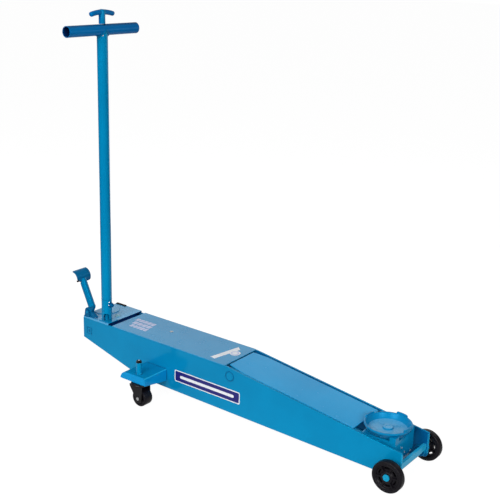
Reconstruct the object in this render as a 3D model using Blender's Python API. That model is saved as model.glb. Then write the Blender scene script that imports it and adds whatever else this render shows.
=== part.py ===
"""Long-chassis hydraulic trolley jack with a T-handle, a foot pedal and a round swivel saddle.

Metres, +Z up, +X towards the saddle. All dimensions below are in the chassis frame: X = 0 at the
rear end of the side plates, Y = 0 on the chassis centreline, Z = 0 on the floor. The empty
"jack_frame" then carries everything to the middle of the jack's own bounding box.
"""

import math

import bmesh
import bpy
from mathutils import Matrix, Vector

# ---------------------------------------------------------------- driving dimensions
MODEL_CENTRE = Vector((0.67095, -0.00480, 0.0))  # middle of the jack's box in the chassis frame
GAP = 0.0003                                    # between pieces that touch
ROUND = 24                                      # sides of a large round piece
SMALL_ROUND = 14                                # sides of a small one

CHASSIS_LENGTH = 1.350
HALF_WIDTH = 0.0893                             # outer face of a side plate
PLATE_T = 0.006
INNER = HALF_WIDTH - PLATE_T                    # inner face of a side plate
PLATE_TOP = 0.2003
REAR_BOTTOM = 0.1221
KINK_X, KINK_Z = 0.298, 0.0426                  # where the bottom edge turns level
SEAM_X = 0.675                                  # end of the fixed cover
SEAM_TOP = 0.2030
FRONT_TOP = 0.1169
FRONT_BOTTOM = 0.0305
COVER_REAR_X = 0.148
COVER_TOP = 0.2036
DECK_FRONT_X = 0.130
DECK_TOP = 0.2066
DISC_X, DISC_Y, DISC_R = 0.020, 0.010, 0.051    # round raised plate on the deck
DISC_TOP = 0.2096

WHEEL_R, WHEEL_W, WHEEL_FACE = 0.0507, 0.023, 0.135
WHEEL_SIDES = 32
AXLE_X, AXLE_R = 1.3266, 0.0108
AXLE_Z = WHEEL_R * math.cos(math.pi / WHEEL_SIDES)   # a flat of the wheel's rim rests on the floor
AXLE_BOSS, AXLE_BOSS_R = 0.012, 0.018
CASTER_X, CASTER_Y = 0.370, 0.180               # kingpin axis
CASTER_TRAIL = 0.016
CASTER_WHEEL_R, CASTER_WHEEL_W = 0.031, 0.037
KINGPIN_BOSS_TOP = {"right": 0.1555, "left": 0.1430}
BRACKET_X0, BRACKET_X1 = 0.300, 0.417
BRACKET_Y1, BRACKET_TOP = 0.201, 0.113
FORK_TOP = 0.0835

PIVOT_X, PIVOT_Z = 0.697, 0.170                 # lift arm pivot
FRONT_PIN_X, FRONT_PIN_Z = 1.250, 0.105         # saddle carrier pin
LINK_DROP = 0.060                               # levelling link under the lift arm
TOP_SLOPE = (SEAM_TOP - FRONT_TOP) / (CHASSIS_LENGTH - SEAM_X)
LEVER_R, LEVER_ANGLE = 0.075, math.radians(25)  # ram lever under the pivot
RAM_Z = 0.112

SADDLE_X, SADDLE_R = 1.250, 0.0757
SADDLE_RIM, SADDLE_FLOOR = 0.152, 0.134

HANDLE_X, HANDLE_Y = 0.0965, -0.062
HANDLE_PIVOT_Z = 0.248
TUBE_R, TUBE_BORE = 0.01905, 0.0160
SOCKET_TOP = 0.290
TBAR_Z, TBAR_HALF = 1.255, 0.1618

PEDAL_X, PEDAL_Y, PEDAL_Z = 0.018, -0.075, 0.224
PAD_X, PAD_Z, PAD_R, PAD_T = -0.036, 0.348, 0.029, 0.005
PAD_Y0, PAD_Y1 = -0.1050, -0.0405

SIDES = (("right", -1.0), ("left", 1.0))
WORK = {}                                       # empties and materials by name


# ---------------------------------------------------------------- materials
def material(name, colour, roughness, metallic):
    """A Principled BSDF material, made once."""
    if name not in WORK:
        made = bpy.data.materials.new(name)
        made.use_nodes = True
        shader = made.node_tree.nodes["Principled BSDF"]
        shader.inputs["Base Color"].default_value = (*colour, 1.0)
        shader.inputs["Roughness"].default_value = roughness
        shader.inputs["Metallic"].default_value = metallic
        made.diffuse_color = (*colour, 1.0)
        WORK[name] = made
    return WORK[name]


def blue_paint():
    return material("blue_paint", (0.010, 0.270, 0.520), 0.35, 0.0)


def light_blue_paint():
    return material("light_blue_paint", (0.150, 0.420, 0.680), 0.30, 0.0)


def black_polymer():
    return material("black_polymer", (0.012, 0.012, 0.014), 0.45, 0.0)


def black_steel():
    return material("black_steel", (0.020, 0.020, 0.022), 0.40, 0.6)


def bright_steel():
    return material("bright_steel", (0.620, 0.630, 0.640), 0.30, 1.0)


def chrome_rod():
    return material("chrome_rod", (0.700, 0.710, 0.720), 0.12, 1.0)


def cast_iron():
    return material("cast_iron", (0.100, 0.105, 0.110), 0.60, 0.8)


def black_rubber():
    return material("black_rubber", (0.010, 0.010, 0.010), 0.75, 0.0)


# ---------------------------------------------------------------- placing
def axis_empty(name, point, parent=None):
    """An empty on a joint's axis; moving pieces hang on it."""
    empty = bpy.data.objects.new(name, None)
    empty.empty_display_size = 0.02
    bpy.context.scene.collection.objects.link(empty)
    WORK[name] = empty
    empty["spot"] = tuple(point)
    empty.location = Vector(point) - (spot(parent) if parent else Vector((0.0, 0.0, 0.0)))
    if parent:
        empty.parent = WORK[parent]
    return empty


def spot(name):
    """Chassis-frame position of an empty."""
    return Vector(WORK[name]["spot"])


def add(name, mesh_bm, finish, parent="jack_frame"):
    """Turn a bmesh in the chassis frame into a named object hung on an empty."""
    bmesh.ops.recalc_face_normals(mesh_bm, faces=mesh_bm.faces)
    bmesh.ops.translate(mesh_bm, verts=mesh_bm.verts, vec=-spot(parent))
    mesh = bpy.data.meshes.new(name)
    mesh_bm.to_mesh(mesh)
    mesh_bm.free()
    mesh.shade_smooth()
    mesh.set_sharp_from_angle(angle=math.radians(35))
    part = bpy.data.objects.new(name, mesh)
    part.parent = WORK[parent]
    if finish:
        part.data.materials.append(finish)
    bpy.context.scene.collection.objects.link(part)
    return part


def combine(part, tool_bm, operation):
    """Join a helper solid to a part, or cut it away, with an EXACT Boolean."""
    parent = part.parent.name
    tool = add(f"tool_{part.name}_{len(part.modifiers)}", tool_bm, None, parent)
    tool.hide_render = True
    tool.display_type = 'WIRE'
    step = part.modifiers.new(operation.lower(), 'BOOLEAN')
    step.operation = operation
    step.solver = 'EXACT'
    step.object = tool
    return part


def cut(part, tool_bm):
    return combine(part, tool_bm, 'DIFFERENCE')


def join(part, tool_bm):
    return combine(part, tool_bm, 'UNION')


# ---------------------------------------------------------------- shapes
def flat_plate(outline, low, high):
    """An outline in X and Y given a thickness along Z."""
    made = bmesh.new()
    lower = [made.verts.new((x, y, low)) for x, y in outline]
    upper = [made.verts.new((x, y, high)) for x, y in outline]
    made.faces.new(lower)
    made.faces.new(upper)
    for i in range(len(outline)):
        j = (i + 1) % len(outline)
        made.faces.new((lower[i], lower[j], upper[j], upper[i]))
    return made


def block(x0, x1, y0, y1, z0, z1):
    """A box between two corners."""
    made = bmesh.new()
    bmesh.ops.create_cube(made, size=1.0)
    centre = Vector(((x0 + x1) / 2, (y0 + y1) / 2, (z0 + z1) / 2))
    size = Matrix.Diagonal((abs(x1 - x0), abs(y1 - y0), abs(z1 - z0), 1.0))
    bmesh.ops.transform(made, matrix=Matrix.Translation(centre) @ size, verts=made.verts)
    return made


def profile_plate(outline, y0, y1):
    """An outline in X and Z given a thickness along Y."""
    made = bmesh.new()
    first = [made.verts.new((x, y0, z)) for x, z in outline]
    second = [made.verts.new((x, y1, z)) for x, z in outline]
    made.faces.new(first)
    made.faces.new(reversed(second))
    for i in range(len(outline)):
        j = (i + 1) % len(outline)
        made.faces.new((first[j], first[i], second[i], second[j]))
    return made


def arc(x, z, radius, start, end, steps):
    """Points on an arc in the XZ plane; angles in degrees from +X towards +Z."""
    points = []
    for i in range(steps + 1):
        angle = math.radians(start + (end - start) * i / steps)
        points.append((x + radius * math.cos(angle), z + radius * math.sin(angle)))
    return points


def turned(profile, centre, direction, sides=ROUND):
    """A closed (radius, height) profile turned about an axis; radius 0 closes on the axis."""
    made = bmesh.new()
    turn = Vector((0.0, 0.0, 1.0)).rotation_difference(Vector(direction).normalized()).to_matrix()
    rings = []
    for radius, height in profile:
        if radius == 0.0:
            point = turn @ Vector((0.0, 0.0, height)) + Vector(centre)
            rings.append([made.verts.new(point)] * sides)
            continue
        ring = []
        for i in range(sides):
            angle = math.tau * (i + 0.5) / sides
            local = Vector((radius * math.cos(angle), radius * math.sin(angle), height))
            ring.append(made.verts.new(turn @ local + Vector(centre)))
        rings.append(ring)
    for lower, upper in zip(rings, rings[1:] + rings[:1]):
        for i in range(sides):
            j = (i + 1) % sides
            corners = list(dict.fromkeys((lower[i], lower[j], upper[j], upper[i])))
            if len(corners) > 2:
                made.faces.new(corners)
    return made


def rod(start, end, radius, sides=ROUND):
    """A solid round bar between two points."""
    start, end = Vector(start), Vector(end)
    length = (end - start).length
    return turned([(0.0, 0.0), (radius, 0.0), (radius, length), (0.0, length)],
                  start, end - start, sides)


def pipe(start, end, radius, bore, sides=ROUND):
    """A round tube between two points."""
    start, end = Vector(start), Vector(end)
    length = (end - start).length
    return turned([(bore, 0.0), (radius, 0.0), (radius, length), (bore, length)],
                  start, end - start, sides)


def across(x, z, y0, y1, radius, sides=ROUND):
    """A round bar along Y."""
    return rod((x, y0, z), (x, y1, z), radius, sides)


def top_edge(x):
    """Height of the sloping top line of the chassis front."""
    return SEAM_TOP - TOP_SLOPE * (x - SEAM_X)


# ---------------------------------------------------------------- chassis
def side_plate(name, side):
    outline = [(0.0, REAR_BOTTOM), (KINK_X, KINK_Z), (CHASSIS_LENGTH - 0.016, FRONT_BOTTOM)]
    outline += arc(CHASSIS_LENGTH - 0.012, FRONT_BOTTOM + 0.012, 0.012, -80, 0, 4)
    outline += [(CHASSIS_LENGTH, FRONT_TOP), (SEAM_X + 0.0008, SEAM_TOP),
                (SEAM_X + 0.0008, PLATE_TOP), (0.0, PLATE_TOP)]
    outer, inner = side * HALF_WIDTH, side * INNER
    plate = add(name, profile_plate(outline, inner, outer), blue_paint())
    past = side * 0.004
    cut(plate, across(PIVOT_X, PIVOT_Z, inner - past, outer + past, 0.015 + GAP, ROUND))
    boss_end = side * (INNER - AXLE_BOSS)
    join(plate, across(AXLE_X, AXLE_Z, side * (INNER + 0.002), boss_end, AXLE_BOSS_R, SMALL_ROUND))
    cut(plate, across(AXLE_X, AXLE_Z, boss_end - past, outer + past, AXLE_R + GAP, SMALL_ROUND))
    return plate


def chassis():
    for label, side in SIDES:
        side_plate(f"side_plate_{label}", side)
    reach = INNER - GAP
    bar = add("front_cross_bar", block(1.3345, 1.3445, -reach, reach, 0.058, 0.0765), blue_paint())
    for side in (-1.0, 1.0):
        cut(bar, across(AXLE_X, AXLE_Z, side * (INNER - AXLE_BOSS - GAP), side * HALF_WIDTH,
                        AXLE_BOSS_R + GAP, SMALL_ROUND))
    add("rear_cross_plate", block(0.008, 0.014, -reach, reach, 0.1225, PLATE_TOP), blue_paint())
    add("main_cover", block(COVER_REAR_X, SEAM_X, -HALF_WIDTH, HALF_WIDTH, PLATE_TOP + GAP, COVER_TOP),
        light_blue_paint())
    screw = [(0.0, 0.0), (0.0065, 0.0), (0.0055, 0.002), (0.0, 0.0032)]
    add("cover_screw", turned(screw, (0.349, 0.012, COVER_TOP + GAP), (0, 0, 1), 12), bright_steel())
    deck()


def deck():
    """Rear deck with its round raised plate, a rubber stop, the pedal ears and a domed bolt."""
    deck_low = PLATE_TOP + GAP
    plate = add("deck_plate", block(0.0, DECK_FRONT_X, -HALF_WIDTH, HALF_WIDTH, deck_low, DECK_TOP),
                light_blue_paint())
    join(plate, rod((DISC_X, DISC_Y, deck_low + 0.001), (DISC_X, DISC_Y, DISC_TOP), DISC_R, 40))
    cut(plate, block(-0.001, 0.052, 0.0790, 0.095, 0.195, 0.215))
    for y0, y1 in ((-0.0890, -0.0836), (-0.0664, -0.0600)):
        ear = arc(PEDAL_X, PEDAL_Z, 0.010, 0, 180, 8) + [(PEDAL_X - 0.013, DECK_TOP - 0.001),
                                                        (PEDAL_X + 0.013, DECK_TOP - 0.001)]
        join(plate, profile_plate(ear, y0, y1))
    cut(plate, across(PEDAL_X, PEDAL_Z, -0.095, -0.055, 0.005 + GAP, SMALL_ROUND))
    for x, y, bore in ((0.0705, -0.048, 0.0045), (0.052, -0.077, 0.0055)):
        cut(plate, rod((x, y, 0.19), (x, y, 0.22), bore, SMALL_ROUND))
    add("deck_stop", block(0.002, 0.0505, 0.0794, 0.0890, deck_low, DISC_TOP), black_rubber())
    dome = [(0.0, 0.0), (0.0100, 0.0), (0.0096, 0.0016), (0.0070, 0.0040), (0.0036, 0.0050), (0.0, 0.0052)]
    add("deck_bolt", turned(dome, (0.100, -0.010, DECK_TOP + GAP), (0, 0, 1), 16), light_blue_paint())


# ---------------------------------------------------------------- front wheels
def front_wheels():
    add("front_axle", across(AXLE_X, AXLE_Z, -0.1385, 0.1385, AXLE_R), light_blue_paint())
    bore = AXLE_R + GAP
    for label, side in SIDES:
        inner_face = WHEEL_FACE - WHEEL_W
        add(f"axle_spacer_{label}",
            pipe((AXLE_X, side * (HALF_WIDTH + GAP), AXLE_Z), (AXLE_X, side * (inner_face - GAP), AXLE_Z),
                 0.016, bore, SMALL_ROUND), blue_paint())
        hub = f"front_wheel_{label}_axis"
        axis_empty(hub, (AXLE_X, side * (WHEEL_FACE - WHEEL_W / 2), AXLE_Z), "jack_frame")
        half = WHEEL_W / 2
        profile = [(bore, -half), (0.019, -half), (0.021, -half + 0.006), (0.036, -half + 0.006),
                   (0.038, -half), (WHEEL_R - 0.004, -half), (WHEEL_R, -half + 0.004),
                   (WHEEL_R, half - 0.004), (WHEEL_R - 0.004, half), (0.038, half),
                   (0.036, half - 0.006), (0.021, half - 0.006), (0.019, half), (bore, half)]
        add(f"front_wheel_{label}", turned(profile, spot(hub), (0, side, 0), WHEEL_SIDES), black_polymer(), hub)


# ---------------------------------------------------------------- outriggers and casters
def outrigger(label, side):
    """Folded bracket: level top, straight front flange, rounded rear flange, closed outer end."""
    low, wall = 0.060, 0.005
    inner_y, outer_y = side * (HALF_WIDTH + GAP), side * BRACKET_Y1
    radius = 0.030
    outline = [(BRACKET_X0, low)] + arc(BRACKET_X0 + radius, BRACKET_TOP - radius, radius, 180, 90, 6)
    outline += [(BRACKET_X1, BRACKET_TOP), (BRACKET_X1, low)]
    bracket = add(f"outrigger_bracket_{label}", profile_plate(outline, inner_y, outer_y), blue_paint())
    inside = [(BRACKET_X0 + wall, low - 0.01)]
    inside += arc(BRACKET_X0 + radius, BRACKET_TOP - radius, radius - wall, 180, 90, 6)
    inside += [(BRACKET_X1 - wall, BRACKET_TOP - wall), (BRACKET_X1 - wall, low - 0.01)]
    cut(bracket, profile_plate(inside, inner_y - side * 0.01, outer_y - side * wall))
    slant = bmesh.new()
    for x in (BRACKET_X0 - 0.01, BRACKET_X1 + 0.01):
        for y, z in ((0.080, 0.0665), (0.215, 0.0875), (0.215, 0.03), (0.080, 0.03)):
            slant.verts.new((x, side * y, z))
    bmesh.ops.convex_hull(slant, input=slant.verts)
    cut(bracket, slant)
    centre = (CASTER_X, side * CASTER_Y)
    join(bracket, rod((*centre, FORK_TOP + 0.0033), (*centre, KINGPIN_BOSS_TOP[label]), 0.0096, SMALL_ROUND))
    cut(bracket, rod((*centre, FORK_TOP), (*centre, 0.17), 0.006 + GAP, SMALL_ROUND))


def caster(label, side):
    """Swivel fork with kingpin, trailing wheel and axle bolt."""
    swivel = f"caster_swivel_{label}_axis"
    y = side * CASTER_Y
    axis_empty(swivel, (CASTER_X, y, FORK_TOP), "jack_frame")
    wheel_x = CASTER_X + CASTER_TRAIL
    wheel_z = CASTER_WHEEL_R * math.cos(math.pi / ROUND)
    under = FORK_TOP - 0.008
    fork = add(f"caster_fork_{label}", rod((CASTER_X, y, FORK_TOP - 0.001), (CASTER_X, y, FORK_TOP + 0.003),
                                           0.013, ROUND), black_steel(), swivel)
    join(fork, rod((CASTER_X + 0.004, y, under), (CASTER_X + 0.004, y, FORK_TOP), 0.0345, ROUND))
    cheek = [(CASTER_X - 0.028, under + 0.001), (wheel_x - 0.0135, 0.0225)]
    cheek += arc(wheel_x, wheel_z, 0.0165, 220, 320, 6)
    cheek += [(CASTER_X + 0.032, under + 0.001)]
    inner_cheek = CASTER_WHEEL_W / 2 + 0.0012
    for face in (-1.0, 1.0):
        join(fork, profile_plate(cheek, y + face * inner_cheek, y + face * (inner_cheek + 0.003)))
    cut(fork, across(wheel_x, wheel_z, y - 0.03, y + 0.03, 0.004 + GAP, SMALL_ROUND))
    cut(fork, rod((CASTER_X, y, under - 0.01), (CASTER_X, y, 0.12), 0.006 + GAP, SMALL_ROUND))
    low, top = under - GAP, KINGPIN_BOSS_TOP[label] + GAP
    pin = [(0.0, low - 0.003), (0.0105, low - 0.003), (0.0105, low), (0.006, low), (0.006, top),
           (0.0105, top), (0.0105, top + 0.0057), (0.006, top + 0.0057), (0.005, top + 0.0097), (0.0, top + 0.0097)]
    add(f"caster_kingpin_{label}", turned(pin, (CASTER_X, y, 0.0), (0, 0, 1), SMALL_ROUND),
        black_steel(), swivel)
    bolt_half = inner_cheek + 0.003 + GAP
    bolt = [(0.0, -bolt_half - 0.003), (0.0065, -bolt_half - 0.003), (0.0065, -bolt_half),
            (0.004, -bolt_half), (0.004, bolt_half), (0.0065, bolt_half), (0.0065, bolt_half + 0.003),
            (0.0, bolt_half + 0.003)]
    add(f"caster_axle_{label}", turned(bolt, (wheel_x, y, wheel_z), (0, 1, 0), 16), bright_steel(), swivel)
    hub = f"caster_wheel_{label}_axis"
    axis_empty(hub, (wheel_x, y, wheel_z), swivel)
    half, edge = CASTER_WHEEL_W / 2, 0.003
    wheel = [(0.004 + GAP, -half), (CASTER_WHEEL_R - edge, -half), (CASTER_WHEEL_R, -half + edge),
             (CASTER_WHEEL_R, half - edge), (CASTER_WHEEL_R - edge, half), (0.004 + GAP, half)]
    add(f"caster_wheel_{label}", turned(wheel, (wheel_x, y, wheel_z), (0, 1, 0), ROUND),
        black_polymer(), hub)


# ---------------------------------------------------------------- lift arm
def lift_arm():
    add("arm_pivot_shaft", across(PIVOT_X, PIVOT_Z, -HALF_WIDTH - 0.0015, HALF_WIDTH + 0.0015, 0.015),
        blue_paint())
    axis = "arm_lift_axis"
    axis_empty(axis, (PIVOT_X, 0.0, PIVOT_Z), "jack_frame")
    plate_high = 0.0070                          # under the chassis top line
    rear_x, front_x = SEAM_X + 0.004, 1.172
    for label, side in SIDES:
        outline = arc(PIVOT_X, PIVOT_Z, 0.0245, 100, 262, 10)
        outline += [(0.790, 0.128), (1.10, 0.093)]
        outline += arc(FRONT_PIN_X, FRONT_PIN_Z, 0.0180, -98, 82, 10)
        outline += [(1.185, top_edge(1.185) - plate_high), (0.735, top_edge(0.735) - plate_high)]
        plate = add(f"arm_plate_{label}", profile_plate(outline, side * 0.0660, side * 0.0720),
                    blue_paint(), axis)
        join(plate, across(PIVOT_X, PIVOT_Z, side * 0.0710, side * (INNER - 2 * GAP), 0.022, ROUND))
        cut(plate, across(PIVOT_X, PIVOT_Z, side * 0.060, side * 0.095, 0.015 + GAP, ROUND))
        cut(plate, across(FRONT_PIN_X, FRONT_PIN_Z, side * 0.060, side * 0.080, 0.010 + GAP, SMALL_ROUND))
        pin_name = f"carrier_pin_{label}"
        add(pin_name, across(FRONT_PIN_X, FRONT_PIN_Z, side * 0.0485, side * 0.0735, 0.010, SMALL_ROUND),
            bright_steel(), axis)
    skin = [(rear_x, top_edge(rear_x) - 0.0015), (front_x, top_edge(front_x) - 0.0015),
            (front_x, top_edge(front_x) - 0.0055), (rear_x, top_edge(rear_x) - 0.0055)]
    top_plate = add("arm_top_plate", profile_plate(skin, -0.0770, 0.0770), light_blue_paint(), axis)
    for side in (-1.0, 1.0):
        corner = [(rear_x - 0.010, side * 0.0640), (0.740, side * 0.0775), (rear_x - 0.010, side * 0.0775)]
        cut(top_plate, flat_plate(corner, 0.18, 0.22))
    rocker = add("arm_rocker", across(PIVOT_X, PIVOT_Z, -0.0657, 0.0657, 0.022, ROUND), blue_paint(), axis)
    lever_x = PIVOT_X - LEVER_R * math.sin(LEVER_ANGLE)
    lever_z = PIVOT_Z - LEVER_R * math.cos(LEVER_ANGLE)
    normal = Vector((math.cos(LEVER_ANGLE), -math.sin(LEVER_ANGLE)))
    for face in (-1.0, 1.0):
        top, foot = Vector((PIVOT_X, PIVOT_Z)), Vector((lever_x, lever_z))
        outline = [tuple(top + normal * 0.020), tuple(top - normal * 0.020)]
        start = math.degrees(math.atan2(-normal.y, -normal.x))
        outline += arc(foot.x, foot.y, 0.016, start, start + 180, 8)
        join(rocker, profile_plate(outline, face * 0.0245, face * 0.0325))
    cut(rocker, across(PIVOT_X, PIVOT_Z, -0.070, 0.070, 0.015 + GAP, ROUND))
    cut(rocker, across(lever_x, lever_z, -0.040, 0.040, 0.009 + GAP, SMALL_ROUND))
    add("ram_lever_pin", across(lever_x, lever_z, -0.0335, 0.0335, 0.009, SMALL_ROUND), bright_steel(), axis)


def levelling_links():
    """Parallel links that keep the saddle carrier level."""
    axis = "level_link_axis"
    low_z = PIVOT_Z - LINK_DROP
    axis_empty(axis, (PIVOT_X, 0.0, low_z), "jack_frame")
    end_x, end_z = FRONT_PIN_X, FRONT_PIN_Z - LINK_DROP
    slope = math.degrees(math.atan2(end_z - low_z, end_x - PIVOT_X))
    for label, side in SIDES:
        outline = arc(PIVOT_X, low_z, 0.013, slope + 90, slope + 270, 8)
        outline += arc(end_x, end_z, 0.011, slope - 90, slope + 90, 8)
        link = add(f"level_link_{label}", profile_plate(outline, side * 0.0415, side * 0.0475),
                   blue_paint(), axis)
        cut(link, across(PIVOT_X, low_z, side * 0.035, side * 0.055, 0.007 + GAP, SMALL_ROUND))
        cut(link, across(end_x, end_z, side * 0.035, side * 0.055, 0.006 + GAP, SMALL_ROUND))
        add(f"level_pin_{label}", across(PIVOT_X, low_z, side * 0.0395, side * (INNER - GAP), 0.007, SMALL_ROUND),
            bright_steel())
    add("level_cross_pin", across(end_x, end_z, -0.0600, 0.0600, 0.006, SMALL_ROUND), bright_steel(), axis)


def saddle_group():
    carrier_axis = "carrier_level_axis"
    axis_empty(carrier_axis, (FRONT_PIN_X, 0.0, FRONT_PIN_Z), "arm_lift_axis")
    top_z, under = 0.1255, 0.1195
    carrier = add("saddle_carrier", block(1.192, 1.310, -0.060, 0.060, under, top_z), blue_paint(),
                  carrier_axis)
    low_z = FRONT_PIN_Z - LINK_DROP
    for side in (-1.0, 1.0):
        cheek = [(1.215, under + 0.001), (1.225, 0.085), (FRONT_PIN_X - 0.011, low_z)]
        cheek += arc(FRONT_PIN_X, low_z, 0.011, 200, 340, 6)
        cheek += [(1.290, 0.085), (1.3095, 0.100), (1.3095, under + 0.001)]
        join(carrier, profile_plate(cheek, side * 0.0505, side * 0.0595))
    join(carrier, block(1.3035, 1.310, -0.0590, 0.0590, 0.0385, under + 0.001))
    for side in (-1.0, 1.0):
        join(carrier, corner_block(side, under + 0.001, 0.1395))
    cut(carrier, across(FRONT_PIN_X, FRONT_PIN_Z, -0.070, 0.070, 0.010 + GAP, SMALL_ROUND))
    cut(carrier, across(FRONT_PIN_X, low_z, -0.070, 0.070, 0.0066, SMALL_ROUND))
    cut(carrier, rod((SADDLE_X, 0, 0.11), (SADDLE_X, 0, 0.14), 0.012 + 2 * GAP, SMALL_ROUND))

    swivel = "saddle_swivel_axis"
    axis_empty(swivel, (SADDLE_X, 0.0, top_z), carrier_axis)
    seat = top_z + GAP
    profile = [(0.0, 0.1125), (0.012, 0.1125), (0.012, seat), (0.046, seat), (0.0640, 0.1300),
               (0.0750, 0.1470), (SADDLE_R, 0.1478), (SADDLE_R, SADDLE_RIM - 0.001),
               (SADDLE_R - 0.001, SADDLE_RIM), (SADDLE_R - 0.006, SADDLE_RIM), (0.0590, SADDLE_FLOOR),
               (0.0165, SADDLE_FLOOR), (0.0160, SADDLE_FLOOR + 0.004), (0.0145, SADDLE_FLOOR + 0.005),
               (0.0, SADDLE_FLOOR + 0.005)]
    saddle = add("saddle", turned(profile, (SADDLE_X, 0, 0), (0, 0, 1), 36), blue_paint(), swivel)
    for angle in (-5, 82, 175):
        join(saddle, saddle_lug(math.radians(angle)))


def corner_block(side, low, high):
    """Front corner of the saddle carrier, standing clear of the saddle's underside."""
    inner = 0.0712
    start, end = math.acos((1.310 - SADDLE_X) / inner), math.asin(0.0597 / inner)
    outline = [(1.310, side * 0.0597)]
    for i in range(7):
        angle = start + (end - start) * i / 6
        outline.append((SADDLE_X + inner * math.cos(angle), side * inner * math.sin(angle)))
    return flat_plate(outline, low, high)


def saddle_lug(angle):
    """A low tooth standing on the saddle's rim."""
    made = bmesh.new()
    half = math.radians(16)
    for spread in (-half, -half / 3, half / 3, half):
        taper = 0.0 if abs(spread) < half else 0.002
        for radius in (SADDLE_R - 0.0055, SADDLE_R - 0.0008):
            for height in (SADDLE_RIM - 0.004, SADDLE_RIM + 0.007 - taper):
                x = SADDLE_X + radius * math.cos(angle + spread)
                made.verts.new((x, radius * math.sin(angle + spread), height))
    bmesh.ops.convex_hull(made, input=made.verts)
    return made


# ---------------------------------------------------------------- hydraulic unit
def hydraulics():
    rise = (REAR_BOTTOM - KINK_Z) / KINK_X
    under = REAR_BOTTOM + 0.002
    body = [(0.018, under - rise * 0.018), (0.158, under - rise * 0.158), (0.158, 0.1990), (0.018, 0.1990)]
    pump = add("pump_block", profile_plate(body, -0.0825, 0.0600), cast_iron())
    for x, y, bore in ((0.0705, -0.048, 0.0045), (0.052, -0.077, 0.0055)):
        cut(pump, rod((x, y, 0.140), (x, y, 0.21), bore, SMALL_ROUND))
    ram_out = 0.418
    add("ram_cylinder", turned([(0.0, 0.1583), (0.028, 0.1583), (0.028, ram_out), (0.0184, ram_out),
                                (0.0184, 0.190), (0.0, 0.190)], (0, 0, RAM_Z), (1, 0, 0), ROUND), cast_iron())
    add("ram_gland", pipe((ram_out + GAP, 0, RAM_Z), (ram_out + 0.020, 0, RAM_Z), 0.031, 0.0184, ROUND),
        black_steel())
    add("oil_reservoir", block(0.1583, 0.400, -0.060, 0.060, 0.1430, 0.1960), blue_paint())
    axis = "ram_axis"
    axis_empty(axis, (0.62, 0.0, RAM_Z), "jack_frame")
    add("ram_rod", rod((0.300, 0, RAM_Z), (0.620, 0, RAM_Z), 0.018, ROUND), chrome_rod(), axis)
    pin_x = PIVOT_X - LEVER_R * math.sin(LEVER_ANGLE)
    head = add("ram_crosshead", block(0.6203, pin_x + 0.022, -0.0225, 0.0225, 0.081, 0.138), cast_iron(), axis)
    slot = arc(pin_x, 0.1065, 0.0102, 0, 180, 8) + arc(pin_x, 0.0935, 0.0102, 180, 360, 8)
    cut(head, profile_plate(slot, -0.03, 0.03))
    add("pump_plunger", rod((0.0705, -0.048, 0.162), (0.0705, -0.048, 0.2315), 0.0042, SMALL_ROUND),
        chrome_rod())
    add("pedal_plunger", rod((0.052, -0.077, 0.150), (0.052, -0.077, 0.2075), 0.0052, SMALL_ROUND),
        chrome_rod())


# ---------------------------------------------------------------- handle
def handle():
    add_base()
    axis = "handle_tilt_axis"
    axis_empty(axis, (HANDLE_X, HANDLE_Y, HANDLE_PIVOT_Z), "jack_frame")
    socket(axis)
    tube = add("handle_tube", pipe((HANDLE_X, HANDLE_Y, SOCKET_TOP + GAP), (HANDLE_X, HANDLE_Y, TBAR_Z),
                                   TUBE_R, TUBE_BORE), blue_paint(), axis)
    ends = (HANDLE_Y - TBAR_HALF, HANDLE_Y + TBAR_HALF)
    cut(tube, across(HANDLE_X, TBAR_Z, ends[0], ends[1], TUBE_R + GAP))
    bar = add("handle_t_bar", pipe((HANDLE_X, ends[0], TBAR_Z), (HANDLE_X, ends[1], TBAR_Z),
                                   TUBE_R, TUBE_BORE), blue_paint(), axis)
    cut(bar, rod((HANDLE_X, HANDLE_Y, TBAR_Z - 0.03), (HANDLE_X, HANDLE_Y, TBAR_Z + 0.03), 0.0055, SMALL_ROUND))
    release(axis)


def add_base():
    """Foot plate bolted to the deck, with the post that carries the handle's pin."""
    low, high = DECK_TOP + GAP, DECK_TOP + 0.0033
    base = add("handle_base", block(0.0765, 0.132, -0.0855, -0.0385, low, high), blue_paint())
    post = arc(HANDLE_X, HANDLE_PIVOT_Z, 0.0085, 0, 180, 8)
    post += [(HANDLE_X - 0.0085, high - 0.001), (HANDLE_X + 0.0085, high - 0.001)]
    join(base, profile_plate(post, HANDLE_Y - 0.007, HANDLE_Y + 0.007))
    cut(base, across(HANDLE_X, HANDLE_PIVOT_Z, HANDLE_Y - 0.02, HANDLE_Y + 0.02, 0.005 + GAP, SMALL_ROUND))
    add("handle_pin", across(HANDLE_X, HANDLE_PIVOT_Z, HANDLE_Y - 0.0195, HANDLE_Y + 0.0195, 0.005,
                             SMALL_ROUND), bright_steel())


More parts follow.
